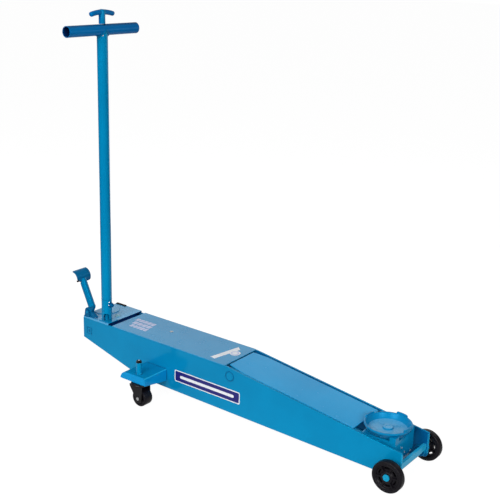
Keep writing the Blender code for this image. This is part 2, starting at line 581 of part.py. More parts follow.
def socket(axis):
    """Lower end of the handle: arched window in front, open slot behind, round foot, pump heel."""
    foot_r = 0.0375
    part = add("handle_socket", pipe((HANDLE_X, HANDLE_Y, HANDLE_PIVOT_Z - 0.045),
                                     (HANDLE_X, HANDLE_Y, SOCKET_TOP), TUBE_R, TUBE_BORE),
               blue_paint(), axis)
    join(part, block(0.0650, 0.0870, -0.0515, -0.0445, 0.2320, 0.2420))
    skirt = pipe((HANDLE_X, HANDLE_Y - 0.03, HANDLE_PIVOT_Z), (HANDLE_X, HANDLE_Y + 0.03, HANDLE_PIVOT_Z),
                 0.080, foot_r, 48)
    bmesh.ops.bisect_plane(skirt, geom=skirt.verts[:] + skirt.edges[:] + skirt.faces[:],
                           plane_co=(0, 0, HANDLE_PIVOT_Z - 0.018), plane_no=(0, 0, 1), clear_outer=True)
    bmesh.ops.holes_fill(skirt, edges=[e for e in skirt.edges if e.is_boundary], sides=0)
    cut(part, skirt)
    cut(part, block(HANDLE_X - 0.03, HANDLE_X - 0.006, HANDLE_Y - 0.010, HANDLE_Y + 0.010, 0.19, 0.2560))
    cut(part, window())
    cut(part, across(HANDLE_X, HANDLE_PIVOT_Z, HANDLE_Y - 0.03, HANDLE_Y + 0.03, 0.005 + GAP, SMALL_ROUND))
    bolt = [(0.0, 0.0), (0.0105, 0.0), (0.0105, 0.0075), (0.0075, 0.0078), (0.0075, 0.0140), (0.0, 0.0150)]
    add("handle_clamp_bolt", turned(bolt, (HANDLE_X + TUBE_R - 0.0012 + 0.0015, HANDLE_Y, 0.2700),
                                    (1, 0, 0), 12), blue_paint(), axis)


def window():
    """Arched cutter facing between the right and the front side."""
    half, top = 0.0105, 0.2370
    outline = arc(0.0, top - half, half, 0, 180, 8) + [(-half, 0.190), (half, 0.190)]
    made = profile_plate(outline, 0.0, 0.03)
    turn = Matrix.Rotation(math.radians(216.6), 4, 'Z')
    bmesh.ops.transform(made, matrix=turn, verts=made.verts)
    bmesh.ops.translate(made, verts=made.verts, vec=(HANDLE_X, HANDLE_Y, 0.0))
    return made


def release(handle_axis):
    """Release control: a rod through the handle with a drooping T-knob on top."""
    axis = "release_turn_axis"
    axis_empty(axis, (HANDLE_X, HANDLE_Y, TBAR_Z + TUBE_R), handle_axis)
    add("release_rod", turned([(0.0, 0.268), (0.0075, 0.268), (0.0075, 0.300), (0.005, 0.303),
                               (0.005, 1.2745), (0.0, 1.2745)], (HANDLE_X, HANDLE_Y, 0), (0, 0, 1), SMALL_ROUND),
        bright_steel(), axis)
    low, arm_z = TBAR_Z + TUBE_R + 0.0008, 1.3135
    knob = add("release_knob", turned([(0.0, low), (0.0114, low), (0.0114, arm_z + 0.004),
                                       (0.0090, arm_z + 0.0085), (0.0, arm_z + 0.0092)],
                                      (HANDLE_X, HANDLE_Y, 0), (0, 0, 1), ROUND), blue_paint(), axis)
    for side in (-1.0, 1.0):
        join(knob, rod((HANDLE_X, HANDLE_Y, arm_z), (HANDLE_X, HANDLE_Y + side * 0.0535, arm_z - 0.0085),
                       0.0082, SMALL_ROUND))
    cut(knob, rod((HANDLE_X, HANDLE_Y, 1.26), (HANDLE_X, HANDLE_Y, 1.2748), 0.006, SMALL_ROUND))


# ---------------------------------------------------------------- pedal
def pedal():
    add("pedal_pin", across(PEDAL_X, PEDAL_Z, -0.0893, -0.0590, 0.005, SMALL_ROUND), bright_steel())
    axis = "pedal_axis"
    axis_empty(axis, (PEDAL_X, PEDAL_Y, PEDAL_Z), "jack_frame")
    lever = add("pedal_lever", across(PEDAL_X, PEDAL_Z, -0.0832, -0.0668, 0.0165, ROUND), blue_paint(), axis)
    join(lever, rod((0.0324, PEDAL_Y, 0.2460), (-0.0155, PEDAL_Y, 0.3450), 0.0132, SMALL_ROUND))
    neck = [(PEDAL_X - 0.010, 0.2320), (0.0205, 0.2450), (0.0440, 0.2545), (0.0440, 0.2440), (0.0330, 0.2220)]
    join(lever, profile_plate(neck, -0.0820, -0.0680))
    finger = [(PEDAL_X, PEDAL_Z - 0.0155), (0.060, 0.2085), (0.060, 0.2125), (PEDAL_X + 0.006, 0.2340)]
    join(lever, profile_plate(finger, -0.0825, -0.0710))
    cut(lever, across(PAD_X, PAD_Z, PAD_Y0 - 0.01, PAD_Y1 + 0.01, PAD_R + GAP, 48))
    cut(lever, across(PEDAL_X, PEDAL_Z, -0.09, -0.06, 0.005 + GAP, SMALL_ROUND))
    shell = arc(PAD_X, PAD_Z, PAD_R, -32, 88, 12) + arc(PAD_X, PAD_Z, PAD_R - PAD_T, 88, -32, 12)
    add("pedal_pad", profile_plate(shell, PAD_Y0, PAD_Y1), blue_paint(), axis)


# ---------------------------------------------------------------- assembly
def main():
    for old in list(bpy.data.objects):
        bpy.data.objects.remove(old, do_unlink=True)
    axis_empty("jack_frame", (0.0, 0.0, 0.0))
    chassis()
    front_wheels()
    for label, side in SIDES:
        outrigger(label, side)
        caster(label, side)
    lift_arm()
    levelling_links()
    saddle_group()
    hydraulics()
    handle()
    pedal()
    WORK["jack_frame"].location = -MODEL_CENTRE
    bpy.context.view_layer.update()


main()
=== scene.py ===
import math

import bmesh
import bpy
from mathutils import Matrix, Vector


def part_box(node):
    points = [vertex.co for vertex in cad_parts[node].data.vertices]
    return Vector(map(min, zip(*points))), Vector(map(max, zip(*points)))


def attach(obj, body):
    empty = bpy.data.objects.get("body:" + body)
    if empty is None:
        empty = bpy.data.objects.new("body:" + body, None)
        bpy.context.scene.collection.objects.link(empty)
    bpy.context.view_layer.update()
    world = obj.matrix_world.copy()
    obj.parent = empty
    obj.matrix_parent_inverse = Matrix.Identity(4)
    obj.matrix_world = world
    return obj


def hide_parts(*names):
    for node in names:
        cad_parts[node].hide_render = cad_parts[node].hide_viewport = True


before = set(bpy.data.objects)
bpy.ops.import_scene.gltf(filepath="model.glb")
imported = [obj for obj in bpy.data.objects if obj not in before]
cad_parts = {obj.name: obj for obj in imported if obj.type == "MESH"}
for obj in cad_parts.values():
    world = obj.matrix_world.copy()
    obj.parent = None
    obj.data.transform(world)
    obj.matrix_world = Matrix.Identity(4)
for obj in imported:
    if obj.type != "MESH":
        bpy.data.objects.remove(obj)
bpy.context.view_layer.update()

# ---- chassis frame
# Pieces are written in the chassis frame: X = 0 at the rear end of the side plates, Y = 0 on the
# centreline, Z = 0 on the floor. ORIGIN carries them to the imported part's frame.
RIGHT_BOX, LEFT_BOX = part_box("side_plate_right"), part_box("side_plate_left")
ORIGIN = Vector((RIGHT_BOX[0].x, (RIGHT_BOX[0].y + LEFT_BOX[1].y) / 2, 0.0))
GAP = 0.0003
BOTH = (-1.0, 1.0)
SIDES = (("right", -1.0), ("left", 1.0))
HALF_WIDTH = (LEFT_BOX[1].y - RIGHT_BOX[0].y) / 2
PLATE_T = 0.006
INNER = HALF_WIDTH - PLATE_T
LENGTH = RIGHT_BOX[1].x - RIGHT_BOX[0].x
PLATE_TOP = 0.2003
REAR_BOTTOM = 0.1221
KINK_X, KINK_Z = 0.298, 0.0426
SEAM_X, SEAM_TOP = 0.675, 0.203
FRONT_TOP, FRONT_BOTTOM = 0.1169, 0.0305
COVER_REAR_X, COVER_TOP = 0.148, 0.2036
DECK_FRONT_X, DECK_TOP = 0.13, 0.2066
DISC_X, DISC_Y, DISC_R, DISC_TOP = 0.02, 0.01, 0.051, 0.2096

WHEEL_R, WHEEL_W, WHEEL_FACE = 0.0507, 0.023, 0.135
AXLE_X, AXLE_R = 1.3266, 0.0108
AXLE_Z = WHEEL_R * math.cos(math.pi / 32)
BOSS_LENGTH, BOSS_R = 0.012, 0.018
CASTER_X, CASTER_Y, CASTER_TRAIL = 0.37, 0.18, 0.016
CASTER_R, CASTER_W = 0.031, 0.037
BOSS_TOP = {"right": 0.1555, "left": 0.143}
CASTER_Z = CASTER_R * math.cos(math.pi / 24)
BRACKET_X0, BRACKET_X1, BRACKET_Y1, BRACKET_TOP = 0.3, 0.417, 0.201, 0.113
FORK_TOP, CASTER_PIN_R, KINGPIN_R = 0.0835, 0.004, 0.006

PIVOT_X, PIVOT_Z, PIVOT_R = 0.697, 0.17, 0.015
PIN_X, PIN_Z, PIN_R = 1.25, 0.105, 0.01
TOP_SLOPE = (SEAM_TOP - FRONT_TOP) / (LENGTH - SEAM_X)
SADDLE_X, SADDLE_R, SADDLE_RIM, SADDLE_FLOOR, CARRIER_TOP = 1.25, 0.0757, 0.152, 0.134, 0.1255

HANDLE_X, HANDLE_Y, HANDLE_Z = 0.0965, -0.062, 0.248
TUBE_R, TUBE_BORE, SOCKET_TOP = 0.01905, 0.0165, 0.29
TBAR_Z, TBAR_HALF = 1.255, 0.1618
PEDAL_X, PEDAL_Y, PEDAL_Z = 0.018, -0.075, 0.224
PAD_X, PAD_Z, PAD_R, PAD_T = -0.036, 0.348, 0.029, 0.005
PAD_Y0, PAD_Y1 = -0.105, -0.0405
HINGE_R = 0.005
PUMP_X, PUMP_Y, PUMP_BORE = 0.0705, -0.048, 0.0045
PLUNGER_X, PLUNGER_Y, PLUNGER_BORE = 0.052, -0.077, 0.0055


def top_edge(x):
    """Height of the sloping top line of the chassis front."""
    return SEAM_TOP - TOP_SLOPE * (x - SEAM_X)


def on_handle(z):
    """A point on the handle's axis."""
    return HANDLE_X, HANDLE_Y, z


# ---- materials
def new_material(name):
    """A material with its tree, the tree's link function, its shader and object coordinates."""
    made = bpy.data.materials.new(name)
    made.use_nodes = True
    tree = made.node_tree
    shader = tree.nodes["Principled BSDF"]
    coords = tree.nodes.new("ShaderNodeTexCoord").outputs["Object"]
    return made, tree, tree.links.new, shader, coords


def noise(tree, coords, scale, detail=3.0, rough=0.5, stretch=None):
    """A noise value, optionally stretched along the axes."""
    if stretch:
        mapping = tree.nodes.new("ShaderNodeMapping")
        mapping.inputs["Scale"].default_value = stretch
        tree.links.new(coords, mapping.inputs["Vector"])
        coords = mapping.outputs["Vector"]
    node = tree.nodes.new("ShaderNodeTexNoise")
    node.inputs["Scale"].default_value = scale
    node.inputs["Detail"].default_value = detail
    node.inputs["Roughness"].default_value = rough
    tree.links.new(coords, node.inputs["Vector"])
    return node.outputs["Fac"]


def spread(tree, value, low, high, out_low, out_high):
    """A value clamped from one range to another."""
    node = tree.nodes.new("ShaderNodeMapRange")
    for key, number in (("From Min", low), ("From Max", high), ("To Min", out_low), ("To Max", out_high)):
        node.inputs[key].default_value = number
    tree.links.new(value, node.inputs["Value"])
    return node.outputs["Result"]


def mix(tree, factor, first, second):
    """A colour between two; each is a colour or a socket."""
    node = tree.nodes.new("ShaderNodeMix")
    node.data_type = 'RGBA'
    tree.links.new(factor, node.inputs["Factor"])
    for key, value in (("A", first), ("B", second)):
        socket = next(s for s in node.inputs if s.name == key and s.type == 'RGBA')
        if isinstance(value, tuple):
            socket.default_value = (*value, 1.0)
        else:
            tree.links.new(value, socket)
    return next(s for s in node.outputs if s.type == 'RGBA')


def bumps(tree, shader, *layers):
    """Bump layers, each (height socket, strength, distance in metres)."""
    last = None
    for height, strength, distance in layers:
        node = tree.nodes.new("ShaderNodeBump")
        node.inputs["Strength"].default_value = strength
        node.inputs["Distance"].default_value = distance
        tree.links.new(height, node.inputs["Height"])
        if last:
            tree.links.new(last, node.inputs["Normal"])
        last = node.outputs["Normal"]
    tree.links.new(last, shader.inputs["Normal"])


def paint(name, colour, deep, rough=(0.2, 0.32), peel=0.1, cast=0.0, spec=0.45, tint=(0.0, 0.5, 1.0)):
    """Gloss enamel: slow tint drift, faint smears in the gloss, orange peel, and cast grain if asked."""
    made, tree, link, shader, coords = new_material(name)
    drift = spread(tree, noise(tree, coords, 5.0, 3.0, 0.55), 0.34, 0.66, 0.0, 1.0)
    base = mix(tree, drift, deep, colour)
    speck = spread(tree, noise(tree, coords, 260.0, 2.0, 0.6), 0.66, 0.8, 0.0, 0.35)
    base = mix(tree, speck, base, tuple(c * 0.72 for c in deep))
    link(base, shader.inputs["Base Color"])
    smear = spread(tree, noise(tree, coords, 26.0, 5.0, 0.65, (1.0, 1.0, 2.4)), 0.32, 0.68, *rough)
    link(smear, shader.inputs["Roughness"])
    layers = [(noise(tree, coords, 330.0, 2.0, 0.5), peel, 0.0004)]
    if cast:
        layers.append((noise(tree, coords, 620.0, 5.0, 0.7), cast, 0.0006))
        layers.append((noise(tree, coords, 90.0, 4.0, 0.6), cast, 0.001))
    bumps(tree, shader, *layers)
    shader.inputs["Specular IOR Level"].default_value = spec
    shader.inputs["Specular Tint"].default_value = (*tint, 1.0)
    return made


def moulded(name, colour, worn, rough, grain, spec):
    """Black polymer, rubber or dull coated steel with a fine grain and scuffs."""
    made, tree, link, shader, coords = new_material(name)
    scuff = spread(tree, noise(tree, coords, 38.0, 6.0, 0.72), 0.5, 0.72, 0.0, 1.0)
    link(mix(tree, scuff, colour, worn), shader.inputs["Base Color"])
    dull = spread(tree, noise(tree, coords, 120.0, 4.0, 0.6), 0.3, 0.7, *rough)
    link(dull, shader.inputs["Roughness"])
    bumps(tree, shader, (noise(tree, coords, 900.0, 3.0, 0.6), grain, 0.0004),
        (noise(tree, coords, 140.0, 3.0, 0.6), grain * 0.8, 0.0008))
    shader.inputs["Specular IOR Level"].default_value = spec
    return made


def bare_metal(name, colour, stained, rough, stretch=(1.0, 1.0, 1.0), grain=0.06):
    """Plated, turned or cast metal with streaks and a few stains."""
    made, tree, link, shader, coords = new_material(name)
    stain = spread(tree, noise(tree, coords, 70.0, 5.0, 0.65), 0.48, 0.74, 0.0, 1.0)
    link(mix(tree, stain, colour, stained), shader.inputs["Base Color"])
    streak = noise(tree, coords, 260.0, 4.0, 0.6, stretch)
    link(spread(tree, streak, 0.3, 0.7, *rough), shader.inputs["Roughness"])
    bumps(tree, shader, (streak, grain, 0.0003))
    shader.inputs["Metallic"].default_value = 1.0
    return made


def printed(name, colour, faded):
    """Vinyl film: flat ink with slight fading and a satin skin."""
    made, tree, link, shader, coords = new_material(name)
    fade = spread(tree, noise(tree, coords, 34.0, 4.0, 0.6), 0.4, 0.75, 0.0, 1.0)
    link(mix(tree, fade, colour, faded), shader.inputs["Base Color"])
    link(spread(tree, noise(tree, coords, 60.0), 0.3, 0.7, 0.28, 0.42), shader.inputs["Roughness"])
    bumps(tree, shader, (noise(tree, coords, 500.0, 2.0), 0.05, 0.0002))
    return made


BLUE = paint("Blue_Enamel", (0.001, 0.24, 0.49), (0.001, 0.205, 0.43), rough=(0.07, 0.15), peel=0.07,
    spec=0.75, tint=(0.0, 0.7, 1.0))
# A lighter copy of the blue enamel for the arm's top skin: painted sheen on an upward face.
PAINTED_SHEEN_ARM = paint("Blue_Enamel_Arm_Painted_Sheen", (0.004, 0.345, 0.7), (0.003, 0.305, 0.635), rough=(0.16, 0.28),
    tint=(0.72, 0.88, 1.0))
# A lighter, greyer copy for the deck, its round plate and the saddle's floor: painted sheen on upward faces.
PAINTED_SHEEN_DECK = paint("Blue_Enamel_Deck_Painted_Sheen", (0.085, 0.385, 0.67), (0.07, 0.35, 0.63), rough=(0.2, 0.32),
    tint=(0.8, 0.92, 1.0))
# A darker copy of the blue enamel for the foot lever: painted shade.
PAINTED_SHADE_LEVER = paint("Blue_Enamel_Lever_Painted_Shade", (0.001, 0.175, 0.37), (0.001, 0.145, 0.32), rough=(0.12, 0.22))
# A darker copy for the lever's lower end, the foot pad, the pedal plinth and the pedal's ears: painted shade.
BLUE_SHADE = paint("Blue_Enamel_Painted_Shade_Mid", (0.001, 0.13, 0.3), (0.001, 0.105, 0.255), rough=(0.16, 0.28))
# A lighter copy for the top cover: painted sheen on an upward face.
PAINTED_SHEEN_TOP = paint("Blue_Enamel_Top_Painted_Sheen", (0.012, 0.285, 0.56), (0.008, 0.255, 0.515), rough=(0.16, 0.3),
    tint=(0.72, 0.88, 1.0))
# A lighter copy for the walls' front-edge strips, the tie bar's top and front and the brackets' folds:
# painted highlight.
PAINTED_HIGHLIGHT_BLUE = paint("Blue_Enamel_Painted_Highlight", (0.02, 0.42, 0.7), (0.012, 0.36, 0.64), rough=(0.12, 0.22))
# A darker copy for the handle's cross tube and the knob's arms: painted shade.
PAINTED_SHADE_CROSS = paint("Blue_Enamel_Cross_Painted_Shade", (0.001, 0.16, 0.44), (0.001, 0.13, 0.39), rough=(0.14, 0.24))
# A lighter copy for the brackets' front and outer faces below the top: painted light.
PAINTED_LIGHT_FACE = paint("Blue_Enamel_Face_Painted_Light", (0.001, 0.29, 0.64), (0.001, 0.255, 0.58), rough=(0.14, 0.24))
# A dark copy for the walls' inner faces and the cross tube's upper faces, where it is painted shade; the
# handle clamp is also drawn in it.
PAINTED_SHADE_DARK = paint("Blue_Enamel_Shade", (0.001, 0.11, 0.29), (0.001, 0.085, 0.24), rough=(0.18, 0.3))
BLUE_CAST = paint("Blue_Enamel_Cast", (0.001, 0.225, 0.48), (0.001, 0.185, 0.41), rough=(0.24, 0.36),
    peel=0.12, cast=0.12, tint=(0.1, 0.6, 1.0))
BLUE_WELD = paint("Blue_Enamel_Weld", (0.001, 0.155, 0.35), (0.001, 0.095, 0.24), rough=(0.22, 0.38),
    peel=0.2, cast=0.2)
# A near-black copy for the deck's front face, the bores of the socket and the cross tube, the pump block and
# the oil reservoir: painted shade in gaps and hollows.
PAINTED_SHADE_DEEP = paint("Blue_Enamel_Painted_Shade_Deep", (0.001, 0.022, 0.12), (0.001, 0.016, 0.09), rough=(0.35, 0.55),
    peel=0.12, cast=0.12)
BOLT_PALE = paint("Bolt_Pale", (0.26, 0.5, 0.58), (0.2, 0.43, 0.52))
AXLE_BLUE = paint("Axle_Blue", (0.01, 0.31, 0.52), (0.006, 0.27, 0.47))
BLACK_WHEEL = moulded("Black_Wheel", (0.0045, 0.0035, 0.006), (0.009, 0.008, 0.012), (0.3, 0.46), 0.1, 0.2)
BLACK_STEEL = moulded("Black_Steel", (0.004, 0.0035, 0.0045), (0.01, 0.0095, 0.011), (0.26, 0.42), 0.1, 0.3)
BLACK_RUBBER = moulded("Black_Rubber", (0.008, 0.008, 0.008), (0.02, 0.02, 0.02), (0.65, 0.85), 0.25, 0.35)
ZINC = bare_metal("Zinc_Plate", (0.72, 0.73, 0.75), (0.52, 0.51, 0.46), (0.22, 0.4))
CHROME = bare_metal("Chrome_Rod", (0.82, 0.83, 0.85), (0.7, 0.71, 0.73), (0.06, 0.14), (12.0, 1.0, 1.0), 0.02)
DARK_IRON = bare_metal("Machined_Iron", (0.2, 0.205, 0.21), (0.12, 0.115, 0.11), (0.42, 0.62),
    (1.0, 1.0, 1.0), 0.2)
NAVY_FILM = printed("Film_Navy", (0.006, 0.006, 0.15), (0.01, 0.011, 0.18))
WHITE_FILM = printed("Film_White", (0.8, 0.82, 0.86), (0.7, 0.73, 0.79))
PALE_FILM = printed("Film_Pale", (0.5, 0.56, 0.78), (0.42, 0.47, 0.72))

# The record's slot of each finish, where it isn't blue_paint.
USUAL_SLOT = {PAINTED_SHEEN_ARM: "light_blue_paint", PAINTED_SHEEN_DECK: "light_blue_paint", PAINTED_SHEEN_TOP: "light_blue_paint",
    AXLE_BLUE: "light_blue_paint", PALE_FILM: "light_blue_paint", BOLT_PALE: "bright_steel",
    ZINC: "bright_steel", BLACK_WHEEL: "black_polymer", BLACK_STEEL: "black_steel",
    BLACK_RUBBER: "black_rubber"}

# ---- mesh building
def slab(outline, y0, y1):
    """An outline in X and Z given a thickness along Y."""
    made = bmesh.new()
    first = [made.verts.new((x, y0, z)) for x, z in outline]
    second = [made.verts.new((x, y1, z)) for x, z in outline]
    made.faces.new(first)
    made.faces.new(reversed(second))
    for i in range(len(outline)):
        j = (i + 1) % len(outline)
        made.faces.new((first[j], first[i], second[i], second[j]))
    return made


def sheet(outline, z0, z1):
    """An outline in X and Y given a thickness along Z."""
    made = slab(outline, z0, z1)
    swap = Matrix(((1, 0, 0, 0), (0, 0, 1, 0), (0, 1, 0, 0), (0, 0, 0, 1)))
    bmesh.ops.transform(made, matrix=swap, verts=made.verts)
    return made


def block(x0, x1, y0, y1, z0, z1):
    """A box between two corners."""
    return slab([(x0, z0), (x1, z0), (x1, z1), (x0, z1)], y0, y1)


def arc(x, z, radius, start, end, steps=12):
    """Points on an arc; angles in degrees from the first axis towards the second."""
    turn = [math.radians(start + (end - start) * i / steps) for i in range(steps + 1)]
    return [(x + radius * math.cos(a), z + radius * math.sin(a)) for a in turn]


def rounded(x0, x1, z0, z1, radius, steps=6):
    """A rectangle's outline with round corners."""
    points = arc(x1 - radius, z1 - radius, radius, 0, 90, steps)
    points += arc(x0 + radius, z1 - radius, radius, 90, 180, steps)
    points += arc(x0 + radius, z0 + radius, radius, 180, 270, steps)
    return points + arc(x1 - radius, z0 + radius, radius, 270, 360, steps)


def turned(profile, centre, axis=(0, 0, 1), sides=64):
    """A closed (radius, height) profile turned about an axis."""
    made = bmesh.new()
    turn = Vector((0, 0, 1)).rotation_difference(Vector(axis).normalized()).to_matrix()
    rings = []
    for radius, height in profile:
        if radius == 0.0:
            rings.append([made.verts.new(turn @ Vector((0, 0, height)) + Vector(centre))] * sides)
            continue
        angles = [math.tau * (i + 0.5) / sides for i in range(sides)]
        points = [Vector((radius * math.cos(a), radius * math.sin(a), height)) for a in angles]
        rings.append([made.verts.new(turn @ p + Vector(centre)) for p in points])
    for lower, upper in zip(rings, rings[1:] + rings[:1]):
        for i in range(sides):
            j = (i + 1) % sides
            corners = list(dict.fromkeys((lower[i], lower[j], upper[j], upper[i])))
            if len(corners) > 2:
                made.faces.new(corners)
    return made


def rod(start, end, radius, sides=48, chamfer=0.0):
    """A solid round bar between two points, its ends chamfered."""
    start, end = Vector(start), Vector(end)
    length = (end - start).length
    profile = [(0.0, 0.0), (radius - chamfer, 0.0)]
    if chamfer:
        profile += [(radius, chamfer), (radius, length - chamfer)]
    profile += [(radius - chamfer, length), (0.0, length)]
    return turned(profile, start, end - start, sides)


def pipe(start, end, radius, bore, sides=64, lip=0.0008):
    """A round tube with softened mouths."""
    start, end = Vector(start), Vector(end)
    length = (end - start).length
    profile = [(bore, lip), (bore + lip, 0.0), (radius - lip, 0.0), (radius, lip), (radius, length - lip),
        (radius - lip, length), (bore + lip, length), (bore, length - lip)]
    return turned(profile, start, end - start, sides)


def across(x, z, y0, y1, radius, sides=48, chamfer=0.0):
    """A round bar along Y."""
    return rod((x, y0, z), (x, y1, z), radius, sides, chamfer)


def smooth_path(points, steps, closed=False):
    """Points along straight runs, evenly spaced."""
    points = [Vector(p) for p in points]
    ends = points + points[:1] if closed else points
    spans = [(a, b) for a, b in zip(ends, ends[1:])]
    total = sum((b - a).length for a, b in spans)
    made = []
    for a, b in spans:
        count = max(1, round(steps * (b - a).length / total))
        made += [a.lerp(b, i / count) for i in range(count)]
    return made if closed else made + [points[-1]]


def bead(points, radius, closed=False, ripple=0.16, sides=8):
    """A weld bead: a tube along a path whose thickness ripples."""
    made = bmesh.new()
    rings, count = [], len(points)
    for i, point in enumerate(points):
        before = points[i - 1] if (closed or i) else points[i]
        after = points[(i + 1) % count] if (closed or i + 1 < count) else points[i]
        along = (after - before).normalized()
        side = along.cross(Vector((0.31, 0.17, 0.93))).normalized()
        other = along.cross(side)
        thick = radius * (1.0 + ripple * math.sin(i * 2.1) + 0.4 * ripple * math.sin(i * 0.73))
        if not closed and i in (0, count - 1):
            thick *= 0.45
        rings.append([made.verts.new(point + thick * (math.cos(a) * side + math.sin(a) * other))
            for a in (math.tau * k / sides for k in range(sides))])
    pairs = list(zip(rings, rings[1:])) + ([(rings[-1], rings[0])] if closed else [])
    for lower, upper in pairs:
        shift = 0
        if closed and lower is rings[-1]:
            shift = min(range(sides), key=lambda s: (upper[s].co - lower[0].co).length)
        for k in range(sides):
            j = (k + 1) % sides
            made.faces.new((lower[k], lower[j], upper[(j + shift) % sides], upper[(k + shift) % sides]))
    if not closed:
        made.faces.new(reversed(rings[0]))
        made.faces.new(rings[-1])
    return made


def ring_path(x, y, z, radius, count, axis='Y'):
    """Points round a circle square to an axis, Y or Z."""
    made = []
    for i in range(count):
        a = math.radians(360.0 * i / count)
        c, s = radius * math.cos(a), radius * math.sin(a)
        made.append(Vector((x + c, y, z + s) if axis == 'Y' else (x + c, y + s, z)))
    return made


def shell_faces(made, rings):
    """Faces between rings of points, and a cap on each end."""
    for lower, upper in zip(rings, rings[1:]):
        for k in range(len(lower)):
            j = (k + 1) % len(lower)
            made.faces.new((lower[k], lower[j], upper[j], upper[k]))
    made.faces.new(reversed(rings[0]))
    made.faces.new(rings[-1])
    return made


def merged(*parts):
    """Several closed shells in one mesh."""
    made = bmesh.new()
    for part in parts:
        mesh = bpy.data.meshes.new("part")
        part.to_mesh(mesh)
        part.free()
        made.from_mesh(mesh)
        bpy.data.meshes.remove(mesh)
    return made


def join(tool):
    """A boolean step that adds a shape."""
    return 'UNION', tool


def cut(tool):
    """A boolean step that takes a shape away."""
    return 'DIFFERENCE', tool


def keep(tool):
    """A boolean step that keeps only what lies inside a shape."""
    return 'INTERSECT', tool


def added(name, data):
    """An object made from its data and put in the scene."""
    made = bpy.data.objects.new(name, data)
    bpy.context.scene.collection.objects.link(made)
    return made


def shaped(base, *steps):
    """A shape after its boolean steps, worked out in order."""
    helpers = []
    for made in (base, *(tool for _, tool in steps)):
        bmesh.ops.recalc_face_normals(made, faces=made.faces)
        mesh = bpy.data.meshes.new("helper")
        made.to_mesh(mesh)
        made.free()
        helpers.append(added("helper", mesh))
    for (operation, _), tool in zip(steps, helpers[1:]):
        step = helpers[0].modifiers.new("step", 'BOOLEAN')
        step.operation, step.solver, step.object = operation, 'EXACT', tool
    evaluated = helpers[0].evaluated_get(bpy.context.evaluated_depsgraph_get())
    mesh = bpy.data.meshes.new_from_object(evaluated)
    made = bmesh.new()
    made.from_mesh(mesh)
    bpy.data.meshes.remove(mesh)
    for helper in helpers:
        data = helper.data
        bpy.data.objects.remove(helper)
        bpy.data.meshes.remove(data)
    bmesh.ops.remove_doubles(made, verts=made.verts, dist=0.00002)
    bmesh.ops.dissolve_limit(made, angle_limit=math.radians(0.4), verts=made.verts, edges=made.edges)
    return made


def soften(piece, width, segments=2, angle=32):
    """Rounded edges where faces meet at more than an angle in degrees."""
    step = piece.modifiers.new("soften", 'BEVEL')
    step.width, step.segments = width, segments
    step.limit_method, step.angle_limit = 'ANGLE', math.radians(angle)
    step.harden_normals = True


def place(name, made, finish, stands_for=None, bevel=0.0, segments=2, angle=32, body="chassis", slot=None):
    """A finished piece from a bmesh in the chassis frame; it rides on a body and may stand for a CAD node."""
    bmesh.ops.recalc_face_normals(made, faces=made.faces)
    bmesh.ops.translate(made, verts=made.verts, vec=ORIGIN)
    mesh = bpy.data.meshes.new(name)
    made.to_mesh(mesh)
    made.free()
    mesh.shade_smooth()
    mesh.set_sharp_from_angle(angle=math.radians(angle))
    piece = added(name, mesh)
    mesh.materials.append(finish)
    if bevel:
        soften(piece, bevel, segments, angle)
    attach(piece, body)
    slot or USUAL_SLOT.get(finish, "blue_paint")
    if stands_for:
        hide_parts(stands_for)
    return piece


def tint(piece, finish, test):
    """A second finish on the faces whose centre and normal pass a test, in the chassis frame."""
    piece.data.materials.append(finish)
    last = len(piece.data.materials) - 1
    for face in piece.data.polygons:
        if test(face.center - ORIGIN, face.normal):
            face.material_index = last


def dress(node, finish, bevel):
    """A CAD node that stays: its material, and softened edges."""
    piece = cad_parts[node]
    piece.data.materials.clear()
    piece.data.materials.append(finish)
    piece.modifiers.new("weld", 'WELD').merge_threshold = 0.00001
    soften(piece, bevel)


def hex_bolt(centre, axis, flats, height, washer=0.0, thread=0.0, thread_r=0.0):
    """A hexagon head on a washer, with the end of its thread showing."""
    corner = flats / math.sqrt(3)
    parts = []
    start = 0.0
    if washer:
        parts.append(turned([(0.0, 0.0), (washer, 0.0), (washer, 0.001), (washer - 0.0004, 0.0014),
            (0.0, 0.0014)], centre, axis, 40))
        start = 0.0014
    head = turned([(0.0, start), (corner, start), (corner, start + height), (0.0, start + height)], centre,
        axis, 6)
    dome = turned([(0.0, start - 0.001), (corner * 1.2, start - 0.001),
        (corner * 1.2, start + height * 0.72), (flats / 2 * 0.96, start + height), (0.0, start + height)],
        centre, axis, 40)
    parts.append(shaped(head, keep(dome)))
    if thread:
        top = start + height
        profile = [(0.0, top - 0.001), (thread_r, top - 0.001)]
        turns = max(2, int(thread / 0.0011))
        for i in range(turns):
            low = top + thread * i / turns
            profile += [(thread_r, low), (thread_r - 0.0005, low + 0.5 * thread / turns)]
        profile += [(thread_r - 0.0004, top + thread), (0.0, top + thread)]
        parts.append(turned(profile, centre, axis, 32))
    return merged(*parts)


